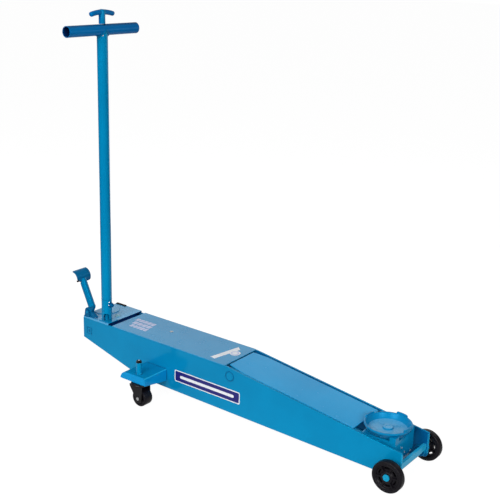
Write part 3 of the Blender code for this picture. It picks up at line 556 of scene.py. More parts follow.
# ---- chassis
def side_walls():
    """Side plates with painted-highlight strips on their front edges, painted shade on their inner faces,
    weld marks, and the arm's shaft.
    """
    outline = [(0.0, REAR_BOTTOM), (KINK_X - 0.01, KINK_Z + 0.0027), (KINK_X, KINK_Z),
        (KINK_X + 0.012, KINK_Z)]
    outline += [(LENGTH - 0.0155, FRONT_BOTTOM)]
    outline += arc(LENGTH - 0.012, FRONT_BOTTOM + 0.012, 0.012, -80, 0, 8)
    outline += arc(LENGTH - 0.004, FRONT_TOP - 0.0035, 0.004, 0, 85, 4)
    outline += [(SEAM_X + 0.0008, SEAM_TOP), (SEAM_X + 0.0008, PLATE_TOP), (0.0, PLATE_TOP)]
    for label, side in SIDES:
        inner, outer = side * INNER, side * HALF_WIDTH
        past = side * 0.004
        boss_end = side * (INNER - BOSS_LENGTH)
        wall = shaped(slab(outline, inner, outer), cut(across(PIVOT_X, PIVOT_Z, inner - past, outer + past,
            PIVOT_R + GAP)), join(across(AXLE_X, AXLE_Z, side * (INNER + 0.002), boss_end, BOSS_R)),
            cut(across(AXLE_X, AXLE_Z, boss_end - past, outer + past, AXLE_R + GAP)))
        piece = place(f"side_wall_{label}", wall, BLUE, f"side_plate_{label}", 0.0009, 3)
        # The inner faces take the dark copy of the enamel: painted shade.
        tint(piece, PAINTED_SHADE_DARK, lambda c, n: n.y * side < -0.9 and c.z < 0.199)
        middle, edge_x = side * (HALF_WIDTH - PLATE_T / 2), LENGTH - PLATE_T / 2 + 0.0004
        # A thin rod in the lighter copy on each front edge: a painted highlight.
        place(f"wall_edge_highlight_{label}", rod((edge_x, middle, 0.045), (edge_x, middle, FRONT_TOP - 0.003), 0.0031,
            32, 0.0012), PAINTED_HIGHLIGHT_BLUE)
        face = side * (HALF_WIDTH + 0.0001)
        tab = smooth_path([(0.0195, face, 0.1425), (0.0425, face, 0.1425), (0.0425, face, 0.166),
            (0.0195, face, 0.166)], 84, closed=True)
        marks = [bead(ring_path(PIVOT_X, face, PIVOT_Z, 0.0168, 84), 0.0013, closed=True),
            bead(tab, 0.0012, closed=True), across(0.031, 0.1542, side * (HALF_WIDTH - 0.001),
            side * (HALF_WIDTH + 0.0007), 0.0052, 32, 0.0005)]
        place(f"wall_welds_{label}", merged(*marks), BLUE_WELD)
        seam = side * (INNER - 0.0002)
        inside = [bead(smooth_path([(1.334, seam, 0.062), (1.334, seam, 0.0755)], 16), 0.0018),
            bead(ring_path(AXLE_X, seam, AXLE_Z, BOSS_R + 0.0008, 64), 0.0018, closed=True)]
        place(f"inner_welds_{label}", merged(*inside), BLUE_WELD)
    place("arm_shaft", across(PIVOT_X, PIVOT_Z, -HALF_WIDTH - 0.001, HALF_WIDTH + 0.001, PIVOT_R, 64,
        0.0009), BLUE, "arm_pivot_shaft")


def cross_plates():
    """The bar between the front ends, the rear wall, and its welds."""
    reach = INNER - GAP
    clear = [cut(across(AXLE_X, AXLE_Z, side * (INNER - BOSS_LENGTH - GAP), side * HALF_WIDTH, BOSS_R + GAP))
        for side in BOTH]
    bar = shaped(block(1.3345, 1.3445, -reach, reach, 0.058, 0.0765), *clear)
    piece = place("front_tie_bar", bar, BLUE, "front_cross_bar", 0.0011)
    # Top and front faces take the lighter copy: painted highlight.
    tint(piece, PAINTED_HIGHLIGHT_BLUE, lambda c, n: n.z > 0.9 or n.x > 0.9)
    place("rear_wall", block(0.008, 0.014, -reach, reach, 0.1225, PLATE_TOP), BLUE, "rear_cross_plate",
        0.0008)
    welds = []
    for side in BOTH:
        y = side * (reach - 0.0004)
        welds.append(bead(smooth_path([(0.0078, y, 0.126), (0.0078, y, 0.197)], 66), 0.0017))
    place("rear_welds", merged(*welds), BLUE_WELD)


def top_cover():
    """The long cover between the deck and the arm, with its screw."""
    low = PLATE_TOP + GAP
    outline = rounded(COVER_REAR_X, SEAM_X, -HALF_WIDTH, HALF_WIDTH, 0.003)
    # The cover takes the lighter copy of the enamel: painted sheen.
    place("top_cover", sheet(outline, low, COVER_TOP), PAINTED_SHEEN_TOP, "main_cover", 0.0008, 3)
    x, y = 0.349, 0.012
    head = turned([(0.0, 0.0), (0.0062, 0.0), (0.0062, 0.0006), (0.0055, 0.0016), (0.0036, 0.0024),
        (0.0, 0.0027)], (x, y, COVER_TOP + GAP), (0, 0, 1), 40)
    cross = [cut(block(x - w, x + w, y - d, y + d, COVER_TOP + 0.0014, COVER_TOP + 0.006))
        for w, d in ((0.0028, 0.0005), (0.0005, 0.0028))]
    place("cover_screw_head", shaped(head, *cross), ZINC, "cover_screw")


def deck():
    """The rear deck with the pedal's ears, the round plate and the pedal's plinth."""
    low = PLATE_TOP + GAP
    outline = [(0.0, -HALF_WIDTH + 0.002), (0.002, -HALF_WIDTH), (DECK_FRONT_X - 0.001, -HALF_WIDTH),
        (DECK_FRONT_X, -HALF_WIDTH + 0.001), (DECK_FRONT_X, HALF_WIDTH - 0.001),
        (DECK_FRONT_X - 0.001, HALF_WIDTH), (0.052, HALF_WIDTH), (0.052, 0.079), (0.0, 0.079)]
    steps = []
    for y0, y1 in ((-0.089, -0.0836), (-0.0664, -0.06)):
        ear = arc(PEDAL_X, PEDAL_Z, 0.01, 0, 180, 20)
        ear += [(PEDAL_X - 0.013, DECK_TOP - 0.001), (PEDAL_X + 0.013, DECK_TOP - 0.001)]
        steps.append(join(slab(ear, y0, y1)))
    steps.append(cut(across(PEDAL_X, PEDAL_Z, -0.095, -0.055, HINGE_R + GAP, 40)))
    for x, y, bore in ((PUMP_X, PUMP_Y, PUMP_BORE), (PLUNGER_X, PLUNGER_Y, PLUNGER_BORE)):
        steps.append(cut(rod((x, y, 0.19), (x, y, 0.22), bore, 40)))
    # The deck takes the lighter copy of the enamel: painted sheen.
    plate = place("rear_deck", shaped(sheet(outline, low, DECK_TOP), *steps), PAINTED_SHEEN_DECK, "deck_plate",
        0.0008, 2)
    # The deck's front face is near-black: a painted shadow gap; the ears above the deck take a darker copy:
    # painted shade.
    tint(plate, PAINTED_SHADE_DEEP, lambda c, n: n.x > 0.9 and c.x > DECK_FRONT_X - 0.002)
    tint(plate, BLUE_SHADE, lambda c, n: c.z > DECK_TOP + 0.0005)
    disc = turned([(0.0, low + 0.001), (DISC_R, low + 0.001), (DISC_R, DISC_TOP - 0.0012),
        (DISC_R - 0.0012, DISC_TOP), (0.0, DISC_TOP)], (DISC_X, DISC_Y, 0.0), (0, 0, 1), 96)
    around = [keep(sheet([(0.0, -HALF_WIDTH), (DECK_FRONT_X, -HALF_WIDTH), (DECK_FRONT_X, HALF_WIDTH),
        (0.0, HALF_WIDTH)], 0.19, 0.22)), cut(block(PEDAL_X - 0.018, PEDAL_X + 0.018, -0.095, -0.056, 0.19,
        0.23)), cut(rod((PUMP_X, PUMP_Y, 0.19), (PUMP_X, PUMP_Y, 0.22), PUMP_BORE, 40))]
    # The round plate takes the same lighter copy: painted sheen.
    place("deck_disc", shaped(disc, *around), PAINTED_SHEEN_DECK)
    plinth = rounded(0.0045, 0.0475, -0.084, -0.0662, 0.002)
    # The plinth takes a darker copy of the enamel: painted shade.
    place("pedal_plinth", sheet(plinth, DECK_TOP - 0.001, DECK_TOP + 0.0012), BLUE_SHADE, bevel=0.0004,
        slot="light_blue_paint")
    welds = []
    for y in (-0.0892, -0.0834, -0.0666, -0.0598):
        welds.append(bead(smooth_path([(PEDAL_X - 0.012, y, DECK_TOP + 0.0004),
            (PEDAL_X + 0.012, y, DECK_TOP + 0.0004)], 24), 0.0011))
    place("ear_welds", merged(*welds), BLUE_WELD)


# ---- front wheels
def front_wheels():
    """The axle bar, spacers and the two slotted wheels."""
    axle = rod((AXLE_X, -0.1385, AXLE_Z), (AXLE_X, 0.1385, AXLE_Z), AXLE_R, 56, 0.0011)
    dimples = [cut(turned([(0.0, -0.0024), (0.0028, 0.0004), (0.0, 0.0006)], (AXLE_X, side * 0.1385, AXLE_Z),
        (0, side, 0), 32)) for side in BOTH]
    place("front_axle_bar", shaped(axle, *dimples), AXLE_BLUE, "front_axle")
    bore, half = AXLE_R + GAP, WHEEL_W / 2
    for label, side in SIDES:
        inner_face = WHEEL_FACE - WHEEL_W
        phase = 37 if side < 0 else 6
        place(f"wheel_spacer_{label}", pipe((AXLE_X, side * (HALF_WIDTH + GAP), AXLE_Z),
            (AXLE_X, side * (inner_face - GAP), AXLE_Z), 0.016, bore), BLUE, f"axle_spacer_{label}")
        centre = Vector((AXLE_X, side * (WHEEL_FACE - half), AXLE_Z))
        web = 0.0052
        outer = [(bore, half - 0.0005), (bore + 0.0008, half), (0.0172, half), (0.0184, half - 0.001),
            (0.0196, web + 0.0014), (0.0208, web), (0.0345, web), (0.0356, web + 0.0008),
            (0.0366, half - 0.0016), (0.0374, half - 0.0008), (0.0392, half - 0.0006), (0.04, half - 0.0014),
            (0.0408, half - 0.0004), (0.044, half), (0.0478, half - 0.0001), (0.0492, half - 0.0005),
            (AXLE_Z - 0.0004, half - 0.0013), (AXLE_Z, half - 0.0026)]
        profile = outer + [(r, -h) for r, h in reversed(outer)]
        tyre = turned(profile[::-1], centre, (0, side, 0), 96)
        slots = [cut(wheel_slot(centre, side, math.radians(60 * i + phase))) for i in range(6)]
        wheel = shaped(tyre, *slots)
        ribs = [wheel_rib(centre, side, face, math.radians(60 * i + phase + 30)) for i in range(6)
            for face in (-1, 1)]
        place(f"roller_{label}", merged(wheel, *ribs), BLACK_WHEEL, f"front_wheel_{label}", 0.0004, 2, 40,
            body=f"front_wheel_{label}")


def wheel_slot(centre, side, angle):
    """A curved slot in a wheel's web: a pocket on the right wheel, open through the left one."""
    radius, half_w, half_a = 0.0283, 0.003, math.radians(13)
    sweep = [-half_a + 2 * half_a * i / 8 for i in range(9)]
    ends = [math.pi * i / 6 for i in range(1, 6)]
    outline = [(radius + half_w, a) for a in sweep]
    outline += [(radius + half_w * math.cos(t), half_a + half_w * math.sin(t) / radius) for t in ends]
    outline += [(radius - half_w, -a) for a in sweep]
    outline += [(radius - half_w * math.cos(t), -half_a - half_w * math.sin(t) / radius) for t in ends]
    points = [(centre.x + r * math.cos(a + angle), centre.z + r * math.sin(a + angle)) for r, a in outline]
    past = 0.02
    pocket_end = 0.0035
    return slab(points, centre.y - past, centre.y + (pocket_end if side < 0 else past))


def wheel_rib(centre, side, face, angle):
    """A low spoke between hub and rim on a wheel's web."""
    made = block(0.0188, 0.0372, 0.0048, WHEEL_W / 2 - 0.0014, -0.0015, 0.0015)
    turn = Matrix.Rotation(-angle, 4, 'Y') @ Matrix.Diagonal((1.0, face, 1.0, 1.0))
    bmesh.ops.transform(made, matrix=Matrix.Translation(centre) @ turn, verts=made.verts)
    return made


# ---- outriggers and casters
def bracket(label, side):
    """One outrigger: a folded bracket with the kingpin's boss and its welds."""
    low, wall, radius, fold = 0.06, 0.005, 0.03, 0.0045
    inner_y, outer_y = side * (HALF_WIDTH + GAP), side * BRACKET_Y1
    outline = [(BRACKET_X0, low)] + arc(BRACKET_X0 + radius, BRACKET_TOP - radius, radius, 180, 90, 18)
    outline += arc(BRACKET_X1 - fold, BRACKET_TOP - fold, fold, 90, 0, 6) + [(BRACKET_X1, low)]
    inside = [(BRACKET_X0 + wall, low - 0.01)]
    inside += arc(BRACKET_X0 + radius, BRACKET_TOP - radius, radius - wall, 180, 90, 18)
    inside += [(BRACKET_X1 - wall, BRACKET_TOP - wall), (BRACKET_X1 - wall, low - 0.01)]
    slant = bmesh.new()
    for x in (BRACKET_X0 - 0.01, BRACKET_X1 + 0.01):
        for y, z in ((0.08, 0.0665), (0.215, 0.0875), (0.215, 0.03), (0.08, 0.03)):
            slant.verts.new((x, side * y, z))
    bmesh.ops.convex_hull(slant, input=slant.verts)
    centre = (CASTER_X, side * CASTER_Y)
    boss = turned([(0.0, FORK_TOP + 0.0033), (0.0096, FORK_TOP + 0.0033), (0.0096, BRACKET_TOP + 0.0005),
        (0.0104, BRACKET_TOP + 0.0012), (0.0096, BRACKET_TOP + 0.003), (0.0096, BOSS_TOP[label] - 0.0012),
        (0.0088, BOSS_TOP[label]), (0.0, BOSS_TOP[label])], (*centre, 0.0), (0, 0, 1), 48)
    made = shaped(slab(outline, inner_y, outer_y), cut(slab(inside, inner_y - side * 0.01,
        outer_y - side * wall)), cut(slant), join(boss), cut(rod((*centre, FORK_TOP), (*centre, 0.17),
        KINGPIN_R + GAP, 40)))
    piece = place(f"outrigger_{label}", made, BLUE, f"outrigger_bracket_{label}", 0.0007)
    # Fold faces take a lighter copy: painted highlight; front and outer faces below the top take another
    # lighter copy: painted light.
    tint(piece, PAINTED_HIGHLIGHT_BLUE, lambda c, n: n.x > 0.3 and 0.25 < n.z < 0.95 and c.z > BRACKET_TOP - fold)
    tint(piece, PAINTED_LIGHT_FACE, lambda c, n: (n.x > 0.9 or n.y * side > 0.9) and c.z < BRACKET_TOP)
    y = side * (HALF_WIDTH + 0.0006)
    top = smooth_path([(BRACKET_X0 + 0.024, y, BRACKET_TOP), (BRACKET_X1 - 0.003, y, BRACKET_TOP)], 76)
    front = smooth_path([(BRACKET_X1, y, BRACKET_TOP - 0.004), (BRACKET_X1, y, 0.0705)], 36)
    foot = ring_path(centre[0], centre[1], BRACKET_TOP + 0.0004, 0.0108, 60, 'Z')
    place(f"outrigger_welds_{label}", merged(bead(top, 0.0017), bead(front, 0.0016),
        bead(foot, 0.0014, True)), BLUE_WELD)


def caster(label, side):
    """One caster: fork, kingpin with its nut, axle bolt and roller."""
    y = side * CASTER_Y
    swivel, roller = f"caster_swivel_{label}", f"caster_wheel_{label}"
    wheel_x, under = CASTER_X + CASTER_TRAIL, FORK_TOP - 0.008
    inner_cheek = CASTER_W / 2 + 0.0012
    head = turned([(0.0, under), (0.0325, under), (0.0325, under + 0.004), (0.0316, under + 0.0056),
        (0.029, FORK_TOP - 0.0008), (0.026, FORK_TOP), (0.0, FORK_TOP)], (CASTER_X + 0.005, y, 0), (0, 0, 1),
        64)
    race = turned([(0.0, under + 0.001), (0.0125, under + 0.001), (0.0125, FORK_TOP + 0.0024),
        (0.0119, FORK_TOP + 0.003), (0.0, FORK_TOP + 0.003)], (CASTER_X, y, 0), (0, 0, 1), 64)
    cheek = [(CASTER_X - 0.0245, under + 0.001), (CASTER_X - 0.0235, under - 0.006), (wheel_x - 0.015, 0.033)]
    cheek += arc(wheel_x, CASTER_Z, 0.0165, 205, 335, 16)
    cheek += [(wheel_x + 0.0165, 0.048), (CASTER_X + 0.032, under - 0.004), (CASTER_X + 0.032, under + 0.001)]
    steps = [join(slab(cheek, y + f * inner_cheek, y + f * (inner_cheek + 0.003))) for f in BOTH]
    steps.append(join(race))
    steps += [cut(across(wheel_x, CASTER_Z, y - 0.03, y + 0.03, CASTER_PIN_R + GAP, 32)),
        cut(rod((CASTER_X, y, under - 0.01), (CASTER_X, y, 0.12), KINGPIN_R + GAP, 40))]
    place(f"fork_{label}", shaped(head, *steps), BLACK_STEEL, f"caster_fork_{label}", 0.0007, 2, 38,
        body=swivel)
    low, top = under - GAP, BOSS_TOP[label] + GAP
    stem = turned([(0.0, low - 0.003), (0.0095, low - 0.003), (0.0105, low - 0.002), (0.0105, low),
        (KINGPIN_R, low), (KINGPIN_R, top), (0.0, top)], (CASTER_X, y, 0), (0, 0, 1), 48)
    nut = hex_bolt((CASTER_X, y, top), (0, 0, 1), 0.0165, 0.0046, 0.0106, 0.002, 0.0048)
    place(f"kingpin_{label}", merged(stem, nut), BLACK_STEEL, f"caster_kingpin_{label}", body=swivel)
    tip = turned([(0.0, 0.0), (0.0024, 0.0), (0.002, 0.0009), (0.0, 0.0012)], (CASTER_X, y, top + 0.008),
        (0, 0, 1), 24)
    place(f"kingpin_tip_{label}", tip, ZINC, body=swivel)
    reach = inner_cheek + 0.003 + GAP
    shank = across(wheel_x, CASTER_Z, y - reach, y + reach, CASTER_PIN_R, 32)
    place(f"caster_bolt_{label}", merged(shank, hex_bolt((wheel_x, y + reach, CASTER_Z), (0, 1, 0), 0.011,
        0.003), hex_bolt((wheel_x, y - reach, CASTER_Z), (0, -1, 0), 0.011, 0.003)), ZINC,
        f"caster_axle_{label}", body=swivel)
    half, bore = CASTER_W / 2, CASTER_PIN_R + GAP
    rim = [(bore, half - 0.0003), (0.0088, half), (0.0098, half - 0.0008), (0.0112, half - 0.0034),
        (0.0205, half - 0.0034), (0.0218, half - 0.001), (0.023, half - 0.0003), (0.0288, half - 0.0003),
        (0.0298, half - 0.0008), (CASTER_Z - 0.0004, half - 0.0018), (CASTER_Z, half - 0.0032)]
    profile = [(r, -h) for r, h in rim] + rim[::-1]
    place(f"caster_roller_{label}", turned(profile, (wheel_x, y, CASTER_Z), (0, 1, 0), 72), BLACK_WHEEL,
        f"caster_wheel_{label}", body=roller)


# ---- lift arm and saddle
def lift_arm():
    """The arm's top skin, its two cheeks and the carrier's pins."""
    rear_x, front_x = SEAM_X + 0.004, 1.172
    skin = [(rear_x, top_edge(rear_x) - 0.0015), (front_x, top_edge(front_x) - 0.0015),
        (front_x, top_edge(front_x) - 0.0055), (rear_x, top_edge(rear_x) - 0.0055)]
    corners = [cut(sheet([(rear_x - 0.01, side * 0.064), (0.74, side * 0.0775),
        (rear_x - 0.01, side * 0.0775)], 0.18, 0.22)) for side in BOTH]
    # The arm's top skin takes the lighter copy of the enamel: painted sheen.
    place("arm_skin", shaped(slab(skin, -0.077, 0.077), *corners), PAINTED_SHEEN_ARM, "arm_top_plate", 0.0008, 3,
        body="lift_arm")
    for label, side in SIDES:
        outline = arc(PIVOT_X, PIVOT_Z, 0.0245, 100, 262, 24)
        outline += [(0.79, 0.128), (1.1, 0.093)] + arc(PIN_X, PIN_Z, 0.018, -98, 82, 24)
        outline += [(1.185, top_edge(1.185) - 0.007), (0.735, top_edge(0.735) - 0.007)]
        cheek = shaped(slab(outline, side * 0.066, side * 0.072), join(across(PIVOT_X, PIVOT_Z, side * 0.071,
            side * (INNER - 2 * GAP), 0.022)), cut(across(PIVOT_X, PIVOT_Z, side * 0.06, side * 0.095,
            PIVOT_R + GAP)), cut(across(PIN_X, PIN_Z, side * 0.06, side * 0.08, PIN_R + GAP, 40)))
        place(f"arm_cheek_{label}", cheek, BLUE, f"arm_plate_{label}", 0.0008, body="lift_arm")
        ends = (0.0485, 0.0735) if side > 0 else (-0.0735, -0.0485)
        place(f"saddle_pin_{label}", across(PIN_X, PIN_Z, *ends, PIN_R, 48, 0.0009), ZINC,
            f"carrier_pin_{label}", body="lift_arm")


def saddle_carrier():
    """The box that carries the saddle, with three small bolts on its front."""
    top_z, under, low_z = CARRIER_TOP, 0.1195, PIN_Z - 0.06
    steps = []
    for side in BOTH:
        cheek = [(1.215, under + 0.001), (1.225, 0.085), (PIN_X - 0.011, low_z)]
        cheek += arc(PIN_X, low_z, 0.011, 200, 340, 14)
        cheek += [(1.29, 0.085), (1.3095, 0.1), (1.3095, under + 0.001)]
        steps.append(join(slab(cheek, side * 0.0505, side * 0.0595)))
    steps.append(join(block(1.3035, 1.31, -0.059, 0.059, 0.0385, under + 0.001)))
    inner = 0.0712
    start, end = math.degrees(math.acos((1.31 - SADDLE_X) / inner)), math.degrees(math.asin(0.0597 / inner))
    for side in BOTH:
        corner = [(1.31, side * 0.0597)]
        corner += [(x, side * y) for x, y in arc(SADDLE_X, 0.0, inner, start, end, 10)]
        steps.append(join(sheet(corner, under + 0.001, 0.1395)))
    steps.append(cut(across(PIN_X, PIN_Z, -0.07, 0.07, PIN_R + GAP, 40)))
    steps.append(cut(across(PIN_X, low_z, -0.07, 0.07, 0.0066, 40)))
    steps.append(cut(rod((SADDLE_X, 0, 0.11), (SADDLE_X, 0, 0.14), 0.012 + 2 * GAP, 48)))
    body = shaped(block(1.192, 1.31, -0.06, 0.06, under, top_z), *steps)
    place("carrier_frame", body, BLUE, "saddle_carrier", 0.0009, body="carrier")
    bolts = [hex_bolt((1.3103, y, z), (1, 0, 0), 0.006, 0.0022) for y, z in ((-0.0176, 0.094),
        (0.0045, 0.0715), (0.046, 0.06))]
    place("carrier_bolts", merged(*bolts), ZINC, body="carrier")


def saddle():
    """The saddle: a round cup with three teeth on its rim."""
    seat = CARRIER_TOP + GAP
    profile = [(0.0, 0.1125), (0.011, 0.1125), (0.012, 0.1135), (0.012, seat), (0.046, seat),
        (0.048, seat + 0.0008), (0.0635, 0.1294), (0.066, 0.1316), (0.0738, 0.1452), (0.075, 0.1466),
        (SADDLE_R, 0.148), (SADDLE_R, SADDLE_RIM - 0.0016), (SADDLE_R - 0.0006, SADDLE_RIM - 0.0004),
        (SADDLE_R - 0.0018, SADDLE_RIM), (SADDLE_R - 0.0046, SADDLE_RIM),
        (SADDLE_R - 0.0058, SADDLE_RIM - 0.0006), (SADDLE_R - 0.0066, SADDLE_RIM - 0.002),
        (0.0618, SADDLE_FLOOR + 0.0022), (0.0602, SADDLE_FLOOR + 0.0006), (0.058, SADDLE_FLOOR),
        (0.0176, SADDLE_FLOOR), (0.0166, SADDLE_FLOOR + 0.0005), (0.0161, SADDLE_FLOOR + 0.0034),
        (0.0152, SADDLE_FLOOR + 0.0046), (0.0138, SADDLE_FLOOR + 0.005), (0.009, SADDLE_FLOOR + 0.005),
        (0.008, SADDLE_FLOOR + 0.004), (0.0, SADDLE_FLOOR + 0.0038)]
    cup = turned(profile, (SADDLE_X, 0, 0), (0, 0, 1), 128)
    steps = [join(lug(math.radians(angle))) for angle in (-5, 82, 175)]
    piece = place("saddle_cup", shaped(cup, *steps), BLUE_CAST, "saddle", 0.0006, 2, 38, body="saddle")
    # Upward faces of the saddle's floor take the deck's lighter copy: painted sheen.
    tint(piece, PAINTED_SHEEN_DECK, lambda c, n: n.z > 0.9 and c.z < SADDLE_FLOOR + 0.006)


def lug(angle):
    """A low tooth standing on the saddle's rim."""
    half, steps = math.radians(16), 14
    made = bmesh.new()
    rings = []
    for i in range(steps + 1):
        offset = -half + 2 * half * i / steps
        ease = min(1.0, (half - abs(offset)) / math.radians(2.6))
        height = SADDLE_RIM + 0.0048 + 0.0022 * math.sin(ease * math.pi / 2)
        ring = []
        for radius, z in ((SADDLE_R - 0.0056, SADDLE_RIM - 0.004), (SADDLE_R - 0.0008, SADDLE_RIM - 0.004),
                (SADDLE_R - 0.0008, height - 0.0008), (SADDLE_R - 0.0014, height),
                (SADDLE_R - 0.0048, height), (SADDLE_R - 0.0056, height - 0.0008)):
            a = angle + offset
            ring.append(made.verts.new((SADDLE_X + radius * math.cos(a), radius * math.sin(a), z)))
        rings.append(ring)
    return shell_faces(made, rings)


# ---- handle
def handle():
    """The handle: foot, hinge pin, socket, tube, cross tube, welds, rivet and clamp."""
    low, high = DECK_TOP + GAP, DECK_TOP + 0.0033
    post = arc(HANDLE_X, HANDLE_Z, 0.0085, 0, 180, 20)
    post += [(HANDLE_X - 0.0085, high - 0.001), (HANDLE_X + 0.0085, high - 0.001)]
    foot = shaped(sheet(rounded(0.0765, 0.132, -0.0855, -0.0385, 0.004), low, high),
        join(slab(post, HANDLE_Y - 0.007, HANDLE_Y + 0.007)), cut(across(HANDLE_X, HANDLE_Z, HANDLE_Y - 0.02,
        HANDLE_Y + 0.02, HINGE_R + GAP, 40)))
    place("handle_foot", foot, BLUE, "handle_base", 0.0007)
    place("handle_hinge_pin", across(HANDLE_X, HANDLE_Z, HANDLE_Y - 0.0195, HANDLE_Y + 0.0195, HINGE_R, 40,
        0.0007), BLUE, "handle_pin", slot="bright_steel")
    casting = place("handle_socket_casting", socket(), BLUE, "handle_socket", 0.0006, 2, 38, body="handle")
    # Faces inside the tube's bore take a near-black copy: painted shade.
    tint(casting, PAINTED_SHADE_DEEP, lambda c, n: c.z < 0.24 and (math.hypot(c.x - HANDLE_X,
        c.y - HANDLE_Y) < TUBE_R - 0.0004))

    tube = shaped(pipe(on_handle(SOCKET_TOP + GAP), on_handle(TBAR_Z), TUBE_R, TUBE_BORE, 72, 0.0002),
        cut(across(HANDLE_X, TBAR_Z, HANDLE_Y - TBAR_HALF, HANDLE_Y + TBAR_HALF, TUBE_R + GAP, 72)))
    place("handle_tube_long", tube, BLUE, "handle_tube", body="handle")
    bar = shaped(pipe((HANDLE_X, HANDLE_Y - TBAR_HALF, TBAR_Z), (HANDLE_X, HANDLE_Y + TBAR_HALF, TBAR_Z),
        TUBE_R, TUBE_BORE, 72, 0.0009), cut(rod(on_handle(TBAR_Z - 0.03), on_handle(TBAR_Z + 0.03), 0.0055,
        40)))
    # The cross tube takes a darker copy: painted shade; its upper faces take a darker one still and its bore
    # a near-black one, both painted shade.
    cross = place("handle_cross_tube", bar, PAINTED_SHADE_CROSS, "handle_t_bar", body="handle")
    tint(cross, PAINTED_SHADE_DARK, lambda c, n: n.z > 0.75)
    tint(cross, PAINTED_SHADE_DEEP, lambda c, n: math.hypot(c.x - HANDLE_X, c.z - TBAR_Z) < TUBE_BORE + 0.0004)
    radius = TUBE_R + 0.0004
    turns = [math.tau * i / 120 for i in range(120)]
    joint = [Vector((HANDLE_X + radius * math.cos(a), HANDLE_Y + radius * math.sin(a),
        TBAR_Z - radius * abs(math.sin(a)) - 0.0006)) for a in turns]
    collar = ring_path(HANDLE_X, HANDLE_Y, SOCKET_TOP, TUBE_R + 0.0001, 96, 'Z')
    place("handle_welds", merged(bead(joint, 0.0036, True, 0.12), bead(collar, 0.0006, True, 0.1)),
        BLUE_WELD, body="handle")
    facing = direction(49.0, 0.0)
    spot = Vector(on_handle(1.238)) + facing * (TUBE_R - 0.0006)
    place("handle_rivet", turned([(0.0, 0.0), (0.0036, 0.0), (0.0034, 0.001), (0.0024, 0.0019),
        (0.0, 0.0023)], spot, facing, 32), ZINC, body="handle")
    clamp = Vector((HANDLE_X + TUBE_R - 0.0012 + 0.0015, HANDLE_Y, 0.27))
    pad = turned([(0.0, -0.001), (0.0105, -0.001), (0.0105, 0.0012), (0.0098, 0.002), (0.0, 0.002)], clamp,
        (1, 0, 0), 48)
    place("handle_clamp", merged(pad, hex_bolt(clamp + Vector((0.002, 0, 0)), (1, 0, 0), 0.015, 0.007, 0.01,
        0.004, 0.0042)), PAINTED_SHADE_DARK, "handle_clamp_bolt", 0.0004, body="handle")
    dots = [turned([(0.0, 0.0), (0.0018, 0.0), (0.0015, 0.0008), (0.0, 0.0011)],
        clamp + Vector((0.0026, y, z)), (0.55, -0.75, 0.35), 20) for y, z in ((-0.0092, 0.0125),
        (-0.0104, 0.0015))]
    place("clamp_dots", merged(*dots), ZINC, body="handle")


def socket():
    """Lower end of the handle: arched window, open slot behind, round foot, pump heel."""
    part = pipe(on_handle(HANDLE_Z - 0.045), on_handle(SOCKET_TOP), TUBE_R, TUBE_BORE, 72, 0.0003)
    heel = block(0.065, 0.087, -0.0515, -0.0445, 0.232, 0.242)
    skirt = turned([(0.0375, -0.03), (0.08, -0.03), (0.08, 0.03), (0.0375, 0.03)], on_handle(HANDLE_Z),
        (0, 1, 0), 96)
    bmesh.ops.bisect_plane(skirt, geom=skirt.verts[:] + skirt.edges[:] + skirt.faces[:],
        plane_co=(0, 0, HANDLE_Z - 0.018), plane_no=(0, 0, 1), clear_outer=True)
    bmesh.ops.holes_fill(skirt, edges=[e for e in skirt.edges if e.is_boundary], sides=0)
    half, top = 0.0105, 0.237
    window = slab(arc(0.0, top - half, half, 0, 180, 24) + [(-half, 0.19), (half, 0.19)], 0.0, 0.03)
    bmesh.ops.transform(window, matrix=Matrix.Rotation(math.radians(216.6), 4, 'Z'), verts=window.verts)
    bmesh.ops.translate(window, verts=window.verts, vec=on_handle(0.0))
    return shaped(part, join(heel), cut(skirt), cut(block(HANDLE_X - 0.03, HANDLE_X - 0.006, HANDLE_Y - 0.01,
        HANDLE_Y + 0.01, 0.19, 0.256)), cut(window), cut(across(HANDLE_X, HANDLE_Z, HANDLE_Y - 0.03,
        HANDLE_Y + 0.03, HINGE_R + GAP, 40)))


def release():
    """The release rod inside the tube and its small T-shaped knob."""
    rod_profile = [(0.0, 0.268), (0.0075, 0.268), (0.0075, 0.3), (0.005, 0.303), (0.005, 1.2745),
        (0.0, 1.2745)]
    place("release_shaft", turned(rod_profile, on_handle(0), (0, 0, 1), 40), ZINC, "release_rod",
        body="release")
    low, arm_z = TBAR_Z + TUBE_R + 0.0008, 1.3135
    stem = turned([(0.0, low), (0.0108, low), (0.0114, low + 0.0008), (0.0112, arm_z - 0.016),
        (0.0116, arm_z - 0.004), (0.011, arm_z + 0.003), (0.009, arm_z + 0.0075), (0.0055, arm_z + 0.009),
        (0.0, arm_z + 0.0092)], on_handle(0), (0, 0, 1), 64)
    steps = []
    for side in BOTH:
        arm = bent_bar([(0.0, 0.0), (0.012, -0.0004), (0.026, -0.0018), (0.04, -0.0042), (0.0505, -0.0066)],
            (0.009, 0.0087, 0.0085, 0.0084, 0.0083), side, arm_z)
        steps.append(join(arm))
    steps.append(cut(rod(on_handle(1.26), on_handle(1.2748), 0.006, 40)))
    tee = place("release_tee", shaped(stem, *steps), BLUE_CAST, "release_knob", 0.0016, 3, 38, body="release")
    # The knob's arms take the cross tube's darker copy: painted shade.
    tint(tee, PAINTED_SHADE_CROSS, lambda c, n: abs(c.y - HANDLE_Y) > 0.01)


